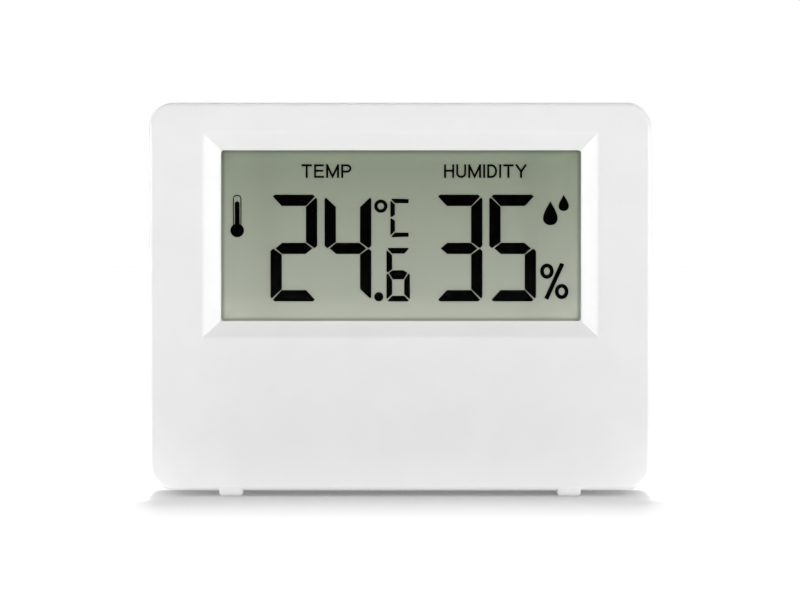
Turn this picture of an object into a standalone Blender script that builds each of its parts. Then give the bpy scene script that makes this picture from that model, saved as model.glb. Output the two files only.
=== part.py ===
"""Small digital thermometer and hygrometer with a liquid crystal display, as an assembly.

Metres, +Z up. The part stands on its moulded feet at z = 0, the display faces -Y and +X is to the
right of someone reading it. The origin is under the middle of the case. Depths are counted from the
front face, so y = front face + depth. The case is sized around what it holds: the display with the
circuit board behind it in the upper half, and one battery cell lying across the lower half.
"""

import math

import bmesh
import bpy
from mathutils import Matrix, Vector

# Clearances
FIT_GAP = 0.0003
LAYER_GAP = 0.0001
FLUSH_DROP = 0.0002
PIN_CLEARANCE = 0.00015

# Case walls and edges
WALL = 0.0018
FACE_WALL = 0.0018
CASE_CORNER_RADIUS = 0.0031
FRONT_EDGE_RADIUS = 0.0005
REAR_EDGE_RADIUS = 0.0012
FRONT_COVER_DEPTH = 0.0070
LAP_DEPTH = 0.0012
LAP_INSET = 0.0008
CHIN_ROOM = 0.0019
HEAD_ROOM = 0.0017
CHEEK_WALL = 0.0028

# Moulded feet
FOOT_HEIGHT = 0.0008
FOOT_WIDTH = 0.0030
FOOT_SPACING = 0.0437
FOOT_CORNER_RADIUS = 0.00045
FOOT_SETBACK = 0.0003

# Display opening with its sloping frame
WINDOW_WIDTH = 0.0466
WINDOW_HEIGHT = 0.0222
WINDOW_CORNER_RADIUS = 0.0003
BEZEL_SLOPE_WIDTH = 0.00225
BEZEL_DEPTH = 0.0015
WINDOW_LIP = 0.0008
WELL_WALL = 0.0010

# Display layers, from the front
TAPE_THICKNESS = 0.0002
TAPE_MARGIN = 0.0004
LENS_THICKNESS = 0.0010
FILM_THICKNESS = 0.0002
FILM_INSET = 0.0004
GLASS_THICKNESS = 0.0007
GLASS_BORDER = 0.0013
GLASS_LEDGE = 0.0022
ZEBRA_INSET = 0.0026
FOAM_HEIGHT = 0.0020
BOARD_STANDOFF = 0.0010

# Circuit board and what is soldered to it
BOARD_THICKNESS = 0.0010
BOARD_EDGE_GAP = 0.0004
BOARD_CORNER_RADIUS = 0.0010
CHIP_COVER_RADIUS = 0.0045
CHIP_COVER_HEIGHT = 0.0013
CRYSTAL_RADIUS = 0.0010
CRYSTAL_LENGTH = 0.0060
SENSOR_SIDE = 0.0050
SENSOR_HEIGHT = 0.0014
SENSOR_PORT_RADIUS = 0.0013
SENSOR_PORT_DEPTH = 0.0005
BEAD_RADIUS = 0.0010
BEAD_STANDOFF = 0.0026
BEAD_LEG_RADIUS = 0.00025
BEAD_LEG_SPREAD = 0.0011
SMALL_CHIP_LENGTH = 0.0020
SMALL_CHIP_WIDTH = 0.0012
SMALL_CHIP_HEIGHT = 0.0007
SWITCH_SIDE = 0.0060
SWITCH_HEIGHT = 0.0034
PLUNGER_RADIUS = 0.00175
PLUNGER_STANDOUT = 0.0012
PLUNGER_ENGAGEMENT = 0.0006

# Push buttons on the back
BUTTON_RADIUS = 0.0024
BUTTON_FLANGE_RADIUS = 0.0033
BUTTON_FLANGE_THICKNESS = 0.0008
BUTTON_DISH_DEPTH = 0.0003
BUTTON_TRAVEL = 0.0004
BUTTON_PITCH = 0.0080
BUTTON_SIDE_ROOM = 0.0115

# Battery cell, contacts and bay
CELL_LENGTH = 0.0445
CELL_DIAMETER = 0.0105
CELL_NUB_RADIUS = 0.0019
CELL_NUB_LENGTH = 0.0010
CELL_EDGE = 0.0004
CONTACT_THICKNESS = 0.0004
CONTACT_WIDTH = 0.0080
CONTACT_TAB_WIDTH = 0.0030
CONTACT_TAB_RISE = 0.0034
SPRING_LENGTH = 0.0030
SPRING_WIRE_RADIUS = 0.00025
SPRING_WIDE_RADIUS = 0.0036
SPRING_NARROW_RADIUS = 0.0022
SPRING_TURNS = 3.0
TUB_WALL = 0.0010
DOOR_ROOM = 0.0008
DOOR_LEDGE = 0.0008
DOOR_THICKNESS = 0.0016
DOOR_EDGE_RADIUS = 0.0003
DOOR_NOTCH_RADIUS = 0.0050
DOOR_NOTCH_DEPTH = 0.0008
HOOK_SPACING = 0.0300
HOOK_WIDTH = 0.0040
HOOK_THICKNESS = 0.0010
HOOK_REACH = 0.0008
GRIP_RIB_COUNT = 4
GRIP_RIB_LENGTH = 0.0180
GRIP_RIB_WIDTH = 0.0006
GRIP_RIB_PITCH = 0.0014
GRIP_RIB_DEPTH = 0.0003

# Fold-out stand: two arms and a cross bar that lie in a channel round the battery door
ARM_WIDTH = 0.0024
ARM_THICKNESS = 0.0022
BAR_HEIGHT = 0.0026
STAND_CORNER_RADIUS = 0.0020
PIVOT_PIN_RADIUS = 0.0007
PIVOT_PIN_LENGTH = 0.0015
CHANNEL_SIDE_RIB = 0.0010
CHANNEL_TOP_RIB = 0.0020
CHANNEL_FLOOR = 0.0010
CHANNEL_END_LIP = 0.0008
THUMB_NOTCH_RADIUS = 0.0050
THUMB_NOTCH_RISE = 0.0028
THUMB_NOTCH_DEPTH = 0.0010

# Keyhole for hanging
KEYHOLE_HEAD_RADIUS = 0.0031
KEYHOLE_NECK_RADIUS = 0.0016
KEYHOLE_RISE = 0.0045
KEYHOLE_DROP = 0.0080
KEYHOLE_DEPTH = 0.0050
KEYHOLE_WALL = 0.0010

# Air vents in front of the sensors
VENT_COUNT = 6
VENT_PITCH = 0.0022
VENT_WIDTH = 0.0010
VENT_LENGTH = 0.0105
VENT_SIDE_ROOM = 0.01075

# Case screws
BOSS_RADIUS = 0.0020
BOSS_CLEARANCE = 0.0005
SCREW_SHANK_RADIUS = 0.0010
SCREW_SHANK_LENGTH = 0.0100
SCREW_TIP_LENGTH = 0.0010
SCREW_HEAD_RADIUS = 0.00175
SCREW_HEAD_HEIGHT = 0.0013
SCREW_CROWN_RADIUS = 0.0011
SCREW_CROWN_DROP = 0.0005
SCREW_SLOT_WIDTH = 0.0005
SCREW_SLOT_LENGTH = 0.0020
SCREW_SLOT_DEPTH = 0.0007

# Facets
ARC_STEPS = 8
EDGE_STEPS = 4
ROUND_SIDES = 32
SMALL_ROUND_SIDES = 20
SPRING_STEPS_PER_TURN = 10
ROUND_END = 0.99
SMOOTH_ANGLE = math.radians(35)
SAME_PLACE = 1e-6
OVERLAP = 0.0005
BEYOND = 0.0020

# Depth stacks, counted from the front face
LIP_BACK = BEZEL_DEPTH + WINDOW_LIP
TAPE_DEPTH = LIP_BACK + LAYER_GAP
LENS_DEPTH = TAPE_DEPTH + TAPE_THICKNESS + LAYER_GAP
FRONT_FILM_DEPTH = LENS_DEPTH + LENS_THICKNESS + LAYER_GAP
FRONT_GLASS_DEPTH = FRONT_FILM_DEPTH + FILM_THICKNESS + LAYER_GAP
REAR_GLASS_DEPTH = FRONT_GLASS_DEPTH + GLASS_THICKNESS + LAYER_GAP
REFLECTOR_DEPTH = REAR_GLASS_DEPTH + GLASS_THICKNESS + LAYER_GAP
REFLECTOR_BACK = REFLECTOR_DEPTH + FILM_THICKNESS
BOARD_DEPTH = REFLECTOR_BACK + BOARD_STANDOFF
BOARD_BACK = BOARD_DEPTH + BOARD_THICKNESS
SWITCH_DEPTH = BOARD_BACK + LAYER_GAP
SWITCH_BACK = SWITCH_DEPTH + SWITCH_HEIGHT
PLUNGER_BACK = SWITCH_BACK + PLUNGER_STANDOUT
BUTTON_DEPTH = PLUNGER_BACK + LAYER_GAP
TUB_FRONT = FACE_WALL + FIT_GAP
BAY_FRONT = TUB_FRONT + TUB_WALL
CELL_FRONT = BAY_FRONT + FIT_GAP
CELL_CENTRE_DEPTH = CELL_FRONT + CELL_DIAMETER / 2
BATTERY_STACK = CELL_FRONT + CELL_DIAMETER + DOOR_ROOM + DOOR_THICKNESS + FLUSH_DROP
BUTTON_STACK = BUTTON_DEPTH + BUTTON_FLANGE_THICKNESS + FIT_GAP + WALL
CASE_DEPTH = max(BATTERY_STACK, BUTTON_STACK)
REAR_WALL_INSIDE = CASE_DEPTH - WALL
FLUSH_DEPTH = CASE_DEPTH - FLUSH_DROP
REAR_COVER_FRONT = FRONT_COVER_DEPTH + FIT_GAP
DOOR_FRONT = FLUSH_DEPTH - DOOR_THICKNESS
LEDGE_DEPTH = DOOR_FRONT - FIT_GAP
CHANNEL_DEPTH = FLUSH_DEPTH - ARM_THICKNESS - FIT_GAP
PIVOT_DEPTH = FLUSH_DEPTH - ARM_THICKNESS / 2
SCREW_SEAT = FLUSH_DEPTH - SCREW_HEAD_HEIGHT
KEYHOLE_FRONT = CASE_DEPTH - KEYHOLE_DEPTH
PAST_BACK = CASE_DEPTH + BEYOND
WALL_CUT_FRONT = REAR_WALL_INSIDE - OVERLAP

# Heights, from the floor up
CASE_BOTTOM = FOOT_HEIGHT
TUB_BOTTOM = CASE_BOTTOM + WALL + FIT_GAP
BAY_BOTTOM = TUB_BOTTOM + TUB_WALL
CELL_CENTRE_HEIGHT = BAY_BOTTOM + FIT_GAP + CELL_DIAMETER / 2
BAY_TOP = CELL_CENTRE_HEIGHT + CELL_DIAMETER / 2 + FIT_GAP
TUB_TOP = BAY_TOP + TUB_WALL
WELL_BOTTOM = TUB_TOP + CHIN_ROOM
GLASS_BOTTOM = WELL_BOTTOM + WELL_WALL + FIT_GAP
LEDGE_TOP = GLASS_BOTTOM + GLASS_LEDGE
WINDOW_BOTTOM = LEDGE_TOP + GLASS_BORDER
WINDOW_TOP = WINDOW_BOTTOM + WINDOW_HEIGHT
GLASS_TOP = WINDOW_TOP + GLASS_BORDER
WELL_TOP = GLASS_TOP + FIT_GAP + WELL_WALL
CASE_TOP = WELL_TOP + HEAD_ROOM + WALL
DOOR_HOLE_BOTTOM = BAY_BOTTOM - DOOR_LEDGE
DOOR_HOLE_TOP = BAY_TOP + DOOR_LEDGE
DOOR_BOTTOM = DOOR_HOLE_BOTTOM + FIT_GAP
DOOR_TOP = DOOR_HOLE_TOP - FIT_GAP
CHANNEL_BOTTOM = CASE_BOTTOM + REAR_EDGE_RADIUS + CHANNEL_END_LIP
PIVOT_HEIGHT = CHANNEL_BOTTOM + FIT_GAP + ARM_THICKNESS / 2
CHANNEL_INNER_TOP = DOOR_HOLE_TOP + CHANNEL_TOP_RIB
BAR_BOTTOM = CHANNEL_INNER_TOP + FIT_GAP
BAR_TOP = BAR_BOTTOM + BAR_HEIGHT
CHANNEL_TOP = BAR_TOP + FIT_GAP
BED_TOP = CHANNEL_TOP + CHANNEL_FLOOR
BOARD_BOTTOM = WELL_BOTTOM
BOARD_TOP = CASE_TOP - WALL - BOARD_EDGE_GAP
LOW_BOSS_HEIGHT = BED_TOP + BOSS_CLEARANCE + BOSS_RADIUS
HIGH_BOSS_HEIGHT = CASE_TOP - WALL - FIT_GAP - BOSS_RADIUS
KEYHOLE_TOP = CASE_TOP - KEYHOLE_DROP
KEYHOLE_HEIGHT = KEYHOLE_TOP - KEYHOLE_RISE
CONTROLS_HEIGHT = (LOW_BOSS_HEIGHT + HIGH_BOSS_HEIGHT) / 2

# Half widths, from the middle out
BAY_HALF = (CELL_LENGTH + SPRING_LENGTH + 2 * CONTACT_THICKNESS + 5 * FIT_GAP) / 2
TUB_HALF = BAY_HALF + TUB_WALL
DOOR_HOLE_HALF = BAY_HALF + DOOR_LEDGE
DOOR_HALF = DOOR_HOLE_HALF - FIT_GAP
CHANNEL_INNER_HALF = DOOR_HOLE_HALF + CHANNEL_SIDE_RIB
ARM_INNER_HALF = CHANNEL_INNER_HALF + FIT_GAP
ARM_OUTER_HALF = ARM_INNER_HALF + ARM_WIDTH
CHANNEL_OUTER_HALF = ARM_OUTER_HALF + FIT_GAP
GLASS_HALF = WINDOW_WIDTH / 2 + GLASS_BORDER
WELL_HALF = GLASS_HALF + FIT_GAP + WELL_WALL
BOSS_ROOM = BOSS_CLEARANCE + 2 * BOSS_RADIUS + FIT_GAP + WALL
CASE_HALF = max(CHANNEL_OUTER_HALF + CHEEK_WALL, WELL_HALF + BOSS_ROOM)
BOSS_X = CASE_HALF - WALL - FIT_GAP - BOSS_RADIUS
BOARD_HALF = CASE_HALF - WALL - BOARD_EDGE_GAP
PLUS_PLATE_X = BAY_HALF - FIT_GAP
CELL_PLUS_X = PLUS_PLATE_X - CONTACT_THICKNESS - FIT_GAP
CELL_MINUS_X = CELL_PLUS_X - CELL_LENGTH
MINUS_PLATE_X = FIT_GAP - BAY_HALF
SPRING_WIDE_X = MINUS_PLATE_X + CONTACT_THICKNESS + FIT_GAP
SPRING_NARROW_X = CELL_MINUS_X - FIT_GAP
BUTTON_LAST_X = CASE_HALF - BUTTON_SIDE_ROOM
BUTTON_FIRST_X = BUTTON_LAST_X - BUTTON_PITCH
VENT_CENTRE_X = VENT_SIDE_ROOM + VENT_LENGTH / 2 - CASE_HALF

# Colours as linear red, green and blue
WHITE_PLASTIC = (0.80, 0.80, 0.79)
CLEAR_PLASTIC = (0.95, 0.96, 0.95)
DISPLAY_GREY = (0.33, 0.36, 0.28)
BOARD_GREEN = (0.02, 0.17, 0.06)
NICKEL = (0.62, 0.61, 0.58)
STEEL = (0.55, 0.55, 0.56)
BLACK = (0.015, 0.015, 0.016)
STRIP_PINK = (0.55, 0.30, 0.30)
SENSOR_WHITE = (0.80, 0.80, 0.76)
SWITCH_GREY = (0.08, 0.08, 0.09)
PLUNGER_BROWN = (0.25, 0.10, 0.08)
BUTTON_GREY = (0.55, 0.56, 0.57)
CELL_BLUE = (0.10, 0.22, 0.34)
CERAMIC_TAN = (0.45, 0.32, 0.20)


def depth_to_y(depth):
    """The y of a plane that lies this deep behind the front face."""
    return depth - CASE_DEPTH / 2


def clear_scene():
    """Remove every object, so that the model starts from nothing."""
    for old in list(bpy.data.objects):
        bpy.data.objects.remove(old, do_unlink=True)


# Making and joining meshes


def add_object(name, mesh):
    """A new object in the scene that holds the mesh."""
    made = bpy.data.objects.new(name, mesh)
    bpy.context.scene.collection.objects.link(made)
    return made


def object_from_bmesh(name, shape):
    """Turn a bmesh into an object with its faces pointing out."""
    bmesh.ops.recalc_face_normals(shape, faces=shape.faces)
    mesh = bpy.data.meshes.new(name)
    shape.to_mesh(mesh)
    shape.free()
    return add_object(name, mesh)


def filleted(corners):
    """Outline points for corners given as (x, z, radius), with each round corner as an arc."""
    points = []
    for index, (x, z, radius) in enumerate(corners):
        corner = Vector((x, z))
        before = (Vector(corners[index - 1][:2]) - corner).normalized()
        after = (Vector(corners[(index + 1) % len(corners)][:2]) - corner).normalized()
        if radius <= 0:
            points.append(corner)
            continue
        half_angle = before.angle(after) / 2
        middle = corner + (before + after).normalized() * (radius / math.sin(half_angle))
        start = corner + before * (radius / math.tan(half_angle)) - middle
        turn = start.angle_signed(corner + after * (radius / math.tan(half_angle)) - middle)
        for step in range(ARC_STEPS + 1):
            points.append(middle + Matrix.Rotation(-turn * step / ARC_STEPS, 2) @ start)
    return points


def rectangle(half, bottom, top, radius=0.0):
    """Outline of a rectangle centred on x = 0, with round corners."""
    corners = [(-half, bottom), (half, bottom), (half, top), (-half, top)]
    return filleted([(x, z, radius) for x, z in corners])


def case_outline(inset):
    """Outline of the case seen from the front, drawn in by inset all round."""
    radius = max(CASE_CORNER_RADIUS - inset, FIT_GAP)
    return rectangle(CASE_HALF - inset, CASE_BOTTOM + inset, CASE_TOP - inset, radius)


def prism(name, outline, front, back):
    """Extrude an outline in the plane of the face from one depth to another."""
    shape = bmesh.new()
    rim = [shape.verts.new((x, depth_to_y(front), z)) for x, z in outline]
    face = shape.faces.new(rim)
    grown = bmesh.ops.extrude_face_region(shape, geom=[face])
    moved = [item for item in grown["geom"] if isinstance(item, bmesh.types.BMVert)]
    bmesh.ops.translate(shape, verts=moved, vec=(0, back - front, 0))
    return object_from_bmesh(name, shape)


def side_prism(name, profile, left, right):
    """Extrude a side profile of (depth, z) points across the case from one x to another."""
    shape = bmesh.new()
    face = shape.faces.new([shape.verts.new((left, depth_to_y(depth), z)) for depth, z in profile])
    grown = bmesh.ops.extrude_face_region(shape, geom=[face])
    moved = [item for item in grown["geom"] if isinstance(item, bmesh.types.BMVert)]
    bmesh.ops.translate(shape, verts=moved, vec=(right - left, 0, 0))
    return object_from_bmesh(name, shape)


def block(name, left, right, bottom, top, front, back):
    """A box between two x, two z and two depths."""
    outline = [(left, bottom), (right, bottom), (right, top), (left, top)]
    return prism(name, outline, front, back)


def frustum(name, near, near_depth, far, far_depth):
    """A loft between two outlines of as many points, at two depths."""
    shape = bmesh.new()
    rims = []
    for outline, depth in ((near, near_depth), (far, far_depth)):
        rim = [shape.verts.new((x, depth_to_y(depth), z)) for x, z in outline]
        shape.faces.new(rim)
        rims.append([edge for edge in shape.edges if set(edge.verts) <= set(rim)])
    bmesh.ops.bridge_loops(shape, edges=rims[0] + rims[1])
    return object_from_bmesh(name, shape)


def turned(name, profile, centre, direction, sides):
    """Revolve a profile of (radius, distance) points about a line through centre."""
    shape = bmesh.new()
    spin_axis = Vector((0, 0, 1))
    chain = [shape.verts.new((radius, 0, along)) for radius, along in profile]
    edges = [shape.edges.new(pair) for pair in zip(chain, chain[1:])]
    bmesh.ops.spin(
        shape, geom=chain + edges, axis=spin_axis, cent=(0, 0, 0), angle=2 * math.pi, steps=sides
    )
    bmesh.ops.remove_doubles(shape, verts=shape.verts, dist=SAME_PLACE)
    turn = spin_axis.rotation_difference(Vector(direction)).to_matrix().to_4x4()
    bmesh.ops.transform(shape, matrix=Matrix.Translation(centre) @ turn, verts=shape.verts)
    return object_from_bmesh(name, shape)


def rod(name, radius, start, direction, length, sides=SMALL_ROUND_SIDES):
    """A plain round bar from start, running in a direction."""
    profile = [(0, 0), (radius, 0), (radius, length), (0, length)]
    return turned(name, profile, start, direction, sides)


def rear_rod(name, radius, x, z, front, back, sides=ROUND_SIDES):
    """A round bar square to the face, between two depths."""
    return rod(name, radius, (x, depth_to_y(front), z), (0, 1, 0), back - front, sides)


def weld(mesh):
    """Merge the points that a cut leaves on top of each other, so that no sliver opens the surface."""
    shape = bmesh.new()
    shape.from_mesh(mesh)
    bmesh.ops.remove_doubles(shape, verts=shape.verts, dist=SAME_PLACE)
    bmesh.ops.dissolve_degenerate(shape, dist=SAME_PLACE, edges=shape.edges)
    shape.to_mesh(mesh)
    shape.free()


def combine(target, tools, operation):
    """Join tools to the target, or cut them out of it, in one step, and remove them."""
    group = bpy.data.collections.new(operation.title())
    for tool in tools:
        group.objects.link(tool)
    step = target.modifiers.new(operation.title(), "BOOLEAN")
    step.operation = operation
    step.solver = "EXACT"
    step.operand_type = "COLLECTION"
    step.collection = group
    graph = bpy.context.evaluated_depsgraph_get()
    mesh = bpy.data.meshes.new_from_object(target.evaluated_get(graph))
    weld(mesh)
    target.modifiers.clear()
    target.data = mesh
    for tool in tools:
        bpy.data.objects.remove(tool, do_unlink=True)
    bpy.data.collections.remove(group)
    return target


def join(target, *tools):
    """Fuse tools with the target."""
    return combine(target, tools, "UNION")


def cut(target, *tools):
    """Cut tools out of the target."""
    return combine(target, tools, "DIFFERENCE")


def round_edges(target, axis, place, radius):
    """Round the edges in a plane square to axis 1 (y), or those along x in one square to axis 2 (z)."""
    shape = bmesh.new()
    shape.from_mesh(target.data)
    rim = []
    for edge in shape.edges:
        first, last = edge.verts[0].co, edge.verts[1].co
        in_plane = max(abs(first[axis] - place), abs(last[axis] - place)) < SAME_PLACE
        across = axis != 2 or abs(first.y - last.y) < SAME_PLACE
        if in_plane and across:
            rim.append(edge)
    bmesh.ops.bevel(
        shape, geom=rim, offset=radius, segments=EDGE_STEPS, profile=0.5, affect="EDGES"
    )
    shape.to_mesh(target.data)
    shape.free()
    return target


def set_origin(target, point):
    """Put the object's origin on a point, such as its joint's axis, without moving its surface."""
    target.data.transform(Matrix.Translation(-Vector(point)))
    target.location = point


def finish(target, colour, roughness, metallic=0.0, transmission=0.0):
    """Give the object its own material, and shade its round faces smooth."""
    material = bpy.data.materials.new(target.name + "_finish")
    material.use_nodes = True
    shader = material.node_tree.nodes["Principled BSDF"]
    shader.inputs["Base Color"].default_value = (*colour, 1.0)
    shader.inputs["Roughness"].default_value = roughness
    shader.inputs["Metallic"].default_value = metallic
    shader.inputs["Transmission Weight"].default_value = transmission
    target.data.materials.clear()
    target.data.materials.append(material)
    if target.type == "MESH":
        target.data.shade_smooth()
        target.data.set_sharp_from_angle(angle=SMOOTH_ANGLE)
    return target


# Case


def boss_places():
    """The x and z of the four case screws."""
    return [(side * BOSS_X, z) for z in (HIGH_BOSS_HEIGHT, LOW_BOSS_HEIGHT) for side in (-1, 1)]


def foot(name, side, front, back):
    """One moulded foot, rounded along its two lower edges and sunk into the case floor."""
    centre = side * FOOT_SPACING / 2
    left, right = centre - FOOT_WIDTH / 2, centre + FOOT_WIDTH / 2
    top = CASE_BOTTOM + WALL / 2
    corners = [
        (left, 0, FOOT_CORNER_RADIUS),
        (right, 0, FOOT_CORNER_RADIUS),
        (right, top, 0),
        (left, top, 0),
    ]
    return prism(name, filleted(corners), front, back)


def front_cover():
    """Front shell: flat face, sloping display frame, display well, screw posts and front feet."""
    cover = prism("front_cover", case_outline(0), 0, FRONT_COVER_DEPTH)
    round_edges(cover, 1, depth_to_y(0), FRONT_EDGE_RADIUS)
    rabbet_front = FRONT_COVER_DEPTH - LAP_DEPTH
    past_back = FRONT_COVER_DEPTH + BEYOND
    cut(
        cover,
        prism("hollow", case_outline(WALL), FACE_WALL, past_back),
        prism("rabbet", case_outline(LAP_INSET), rabbet_front, past_back),
    )
    well_back = REFLECTOR_BACK
    post_back = BOARD_DEPTH - LAYER_GAP
    foot_front = FRONT_EDGE_RADIUS + FOOT_SETBACK
    foot_back = FRONT_COVER_DEPTH - FOOT_SETBACK
    posts = [rear_rod("post", BOSS_RADIUS, x, z, FACE_WALL / 2, post_back) for x, z in boss_places()]
    join(
        cover,
        block("well", -WELL_HALF, WELL_HALF, WELL_BOTTOM, WELL_TOP, FACE_WALL / 2, well_back),
        foot("left_foot", -1, foot_front, foot_back),
        foot("right_foot", 1, foot_front, foot_back),
        *posts,
    )
    pocket_half = GLASS_HALF + FIT_GAP
    pocket_bottom, pocket_top = GLASS_BOTTOM - FIT_GAP, GLASS_TOP + FIT_GAP
    window = rectangle(WINDOW_WIDTH / 2, WINDOW_BOTTOM, WINDOW_TOP, WINDOW_CORNER_RADIUS)
    flare = BEZEL_SLOPE_WIDTH * (1 + OVERLAP / BEZEL_DEPTH)
    mouth = rectangle(WINDOW_WIDTH / 2 + flare, WINDOW_BOTTOM - flare, WINDOW_TOP + flare)
    throat = rectangle(WINDOW_WIDTH / 2, WINDOW_BOTTOM, WINDOW_TOP)
    pilot_radius = SCREW_SHANK_RADIUS + LAYER_GAP
    pilot_front = SCREW_SEAT - SCREW_SHANK_LENGTH - FIT_GAP
    pilots = [rear_rod("pilot", pilot_radius, x, z, pilot_front, past_back) for x, z in boss_places()]
    cut(
        cover,
        block("pocket", -pocket_half, pocket_half, pocket_bottom, pocket_top, LIP_BACK, past_back),
        prism("window", window, -BEYOND, LIP_BACK + OVERLAP),
        frustum("bezel", mouth, -OVERLAP, throat, BEZEL_DEPTH),
        *pilots,
    )
    return finish(cover, WHITE_PLASTIC, 0.45)


def rear_shell():
    """Hollow rear shell with its rounded back edge and the lap lip that slips into the front cover."""
    cover = prism("rear_cover", case_outline(0), REAR_COVER_FRONT, CASE_DEPTH)
    round_edges(cover, 1, depth_to_y(CASE_DEPTH), REAR_EDGE_RADIUS)
    lip_front = FRONT_COVER_DEPTH - LAP_DEPTH + FIT_GAP
    lip_outline = case_outline(LAP_INSET + FIT_GAP)
    join(cover, prism("lap_lip", lip_outline, lip_front, REAR_COVER_FRONT + OVERLAP))
    return cut(cover, prism("hollow", case_outline(WALL), lip_front - BEYOND, REAR_WALL_INSIDE))


def rear_additions():
    """What stands inside the rear shell: stand bed, battery tub, keyhole cup, screw posts and feet."""
    side, bottom, back = CASE_HALF - WALL / 2, CASE_BOTTOM + WALL / 2, CASE_DEPTH - WALL / 2
    cup_half = KEYHOLE_HEAD_RADIUS + KEYHOLE_WALL
    cup_outline = rectangle(
        cup_half, KEYHOLE_HEIGHT - cup_half, KEYHOLE_TOP + cup_half, cup_half * ROUND_END
    )
    floor_front = REAR_COVER_FRONT + OVERLAP
    post_front = BOARD_BACK + LAYER_GAP
    foot_front = REAR_COVER_FRONT + FOOT_SETBACK
    foot_back = CASE_DEPTH - REAR_EDGE_RADIUS - FOOT_SETBACK
    pieces = [
        block("bed", -side, side, bottom, BED_TOP, CHANNEL_DEPTH - CHANNEL_FLOOR, back),
        block("tub", -TUB_HALF, TUB_HALF, TUB_BOTTOM, TUB_TOP, TUB_FRONT, back),
        block("tub_floor", -TUB_HALF, TUB_HALF, bottom, BAY_BOTTOM, floor_front, back),
        prism("cup", cup_outline, KEYHOLE_FRONT - KEYHOLE_WALL, back),
        foot("left_foot", -1, foot_front, foot_back),
        foot("right_foot", 1, foot_front, foot_back),
    ]
    pieces += [rear_rod("post", BOSS_RADIUS, x, z, post_front, back) for x, z in boss_places()]
    return pieces


def stand_outline(inner_half, outer_half, bottom, inner_top, top, outer_radius):
    """Outline of an arch: two legs and a bar across their tops, with round outer corners."""
    inner_radius = max(outer_radius - (outer_half - inner_half), FIT_GAP)
    corners = [
        (-outer_half, bottom, 0),
        (-inner_half, bottom, 0),
        (-inner_half, inner_top, inner_radius),
        (inner_half, inner_top, inner_radius),
        (inner_half, bottom, 0),
        (outer_half, bottom, 0),
        (outer_half, top, outer_radius),
        (-outer_half, top, outer_radius),
    ]
    return filleted(corners)


def hook_sweep():
    """How far the lowest, innermost corner of a door hook lies from the door's hinge line."""
    inward = FLUSH_DEPTH - (LEDGE_DEPTH - HOOK_THICKNESS)
    down = DOOR_BOTTOM - hook_tip_height()
    return math.hypot(inward, down)


def hook_tip_height():
    """The lowest z of the door's hooks, which reach behind the edge of the door hole."""
    return DOOR_HOLE_BOTTOM - HOOK_REACH


def contact_slot(name, plate_left):
    """Cutter for the slot in the tub's top wall that a contact's solder tab comes out by."""
    tab_front = BOARD_BACK + FIT_GAP
    return block(
        name,
        plate_left - FIT_GAP,
        plate_left + CONTACT_THICKNESS + FIT_GAP,
        BAY_TOP - OVERLAP,
        TUB_TOP + OVERLAP,
        tab_front - FIT_GAP,
        tab_front + CONTACT_TAB_WIDTH + FIT_GAP,
    )


def battery_bay_cutters():
    """Cutters for the battery bay, the door's seat, the hook pockets and the contacts' slots."""
    door_half = DOOR_HOLE_HALF
    door_bottom, door_top = DOOR_HOLE_BOTTOM, DOOR_HOLE_TOP
    cutters = [
        block("bay", -BAY_HALF, BAY_HALF, BAY_BOTTOM, BAY_TOP, BAY_FRONT, PAST_BACK),
        block("door_seat", -door_half, door_half, door_bottom, door_top, LEDGE_DEPTH, PAST_BACK),
        contact_slot("plus_slot", PLUS_PLATE_X - CONTACT_THICKNESS),
        contact_slot("minus_slot", MINUS_PLATE_X),
    ]
    pocket_front = FLUSH_DEPTH - hook_sweep() - FIT_GAP
    pocket_back = LEDGE_DEPTH + FIT_GAP
    bottom, top = hook_tip_height() - FIT_GAP, BAY_BOTTOM + OVERLAP
    half = HOOK_WIDTH / 2 + FIT_GAP
    for side in (-1, 1):
        centre = side * HOOK_SPACING / 2
        left, right = centre - half, centre + half
        cutters.append(block("hook_pocket", left, right, bottom, top, pocket_front, pocket_back))
    return cutters


def stand_channel_cutters():
    """Cutters for the channel that the folded stand lies in, its pivot holes and the thumb notch."""
    outline = stand_outline(
        CHANNEL_INNER_HALF,
        CHANNEL_OUTER_HALF,
        CHANNEL_BOTTOM,
        CHANNEL_INNER_TOP,
        CHANNEL_TOP,
        STAND_CORNER_RADIUS + FIT_GAP,
    )
    notch_height = CHANNEL_TOP + THUMB_NOTCH_RISE - THUMB_NOTCH_RADIUS
    notch_front = CASE_DEPTH - THUMB_NOTCH_DEPTH
    cutters = [
        prism("channel", outline, CHANNEL_DEPTH, PAST_BACK),
        rear_rod("thumb_notch", THUMB_NOTCH_RADIUS, 0, notch_height, notch_front, PAST_BACK),
    ]
    hole_radius = PIVOT_PIN_RADIUS + PIN_CLEARANCE
    for side in (-1, 1):
        start = (side * (CHANNEL_OUTER_HALF - OVERLAP), depth_to_y(PIVOT_DEPTH), PIVOT_HEIGHT)
        cutters.append(rod("pivot_hole", hole_radius, start, (side, 0, 0), OVERLAP + PIVOT_PIN_LENGTH))
    return cutters


def keyhole_cutters():
    """Cutters for the keyhole: its round mouth, its neck and the run behind the wall."""
    head, neck, run = KEYHOLE_HEAD_RADIUS, KEYHOLE_NECK_RADIUS, KEYHOLE_HEAD_RADIUS + LAYER_GAP
    run_outline = rectangle(run, KEYHOLE_HEIGHT - run, KEYHOLE_TOP + run, run * ROUND_END)
    neck_outline = rectangle(neck, KEYHOLE_HEIGHT, KEYHOLE_TOP + neck, neck * ROUND_END)
    return [
        prism("run", run_outline, KEYHOLE_FRONT, REAR_WALL_INSIDE),
        prism("neck", neck_outline, WALL_CUT_FRONT, PAST_BACK),
        rear_rod("mouth", head, 0, KEYHOLE_HEIGHT, WALL_CUT_FRONT, PAST_BACK),
    ]


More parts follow.
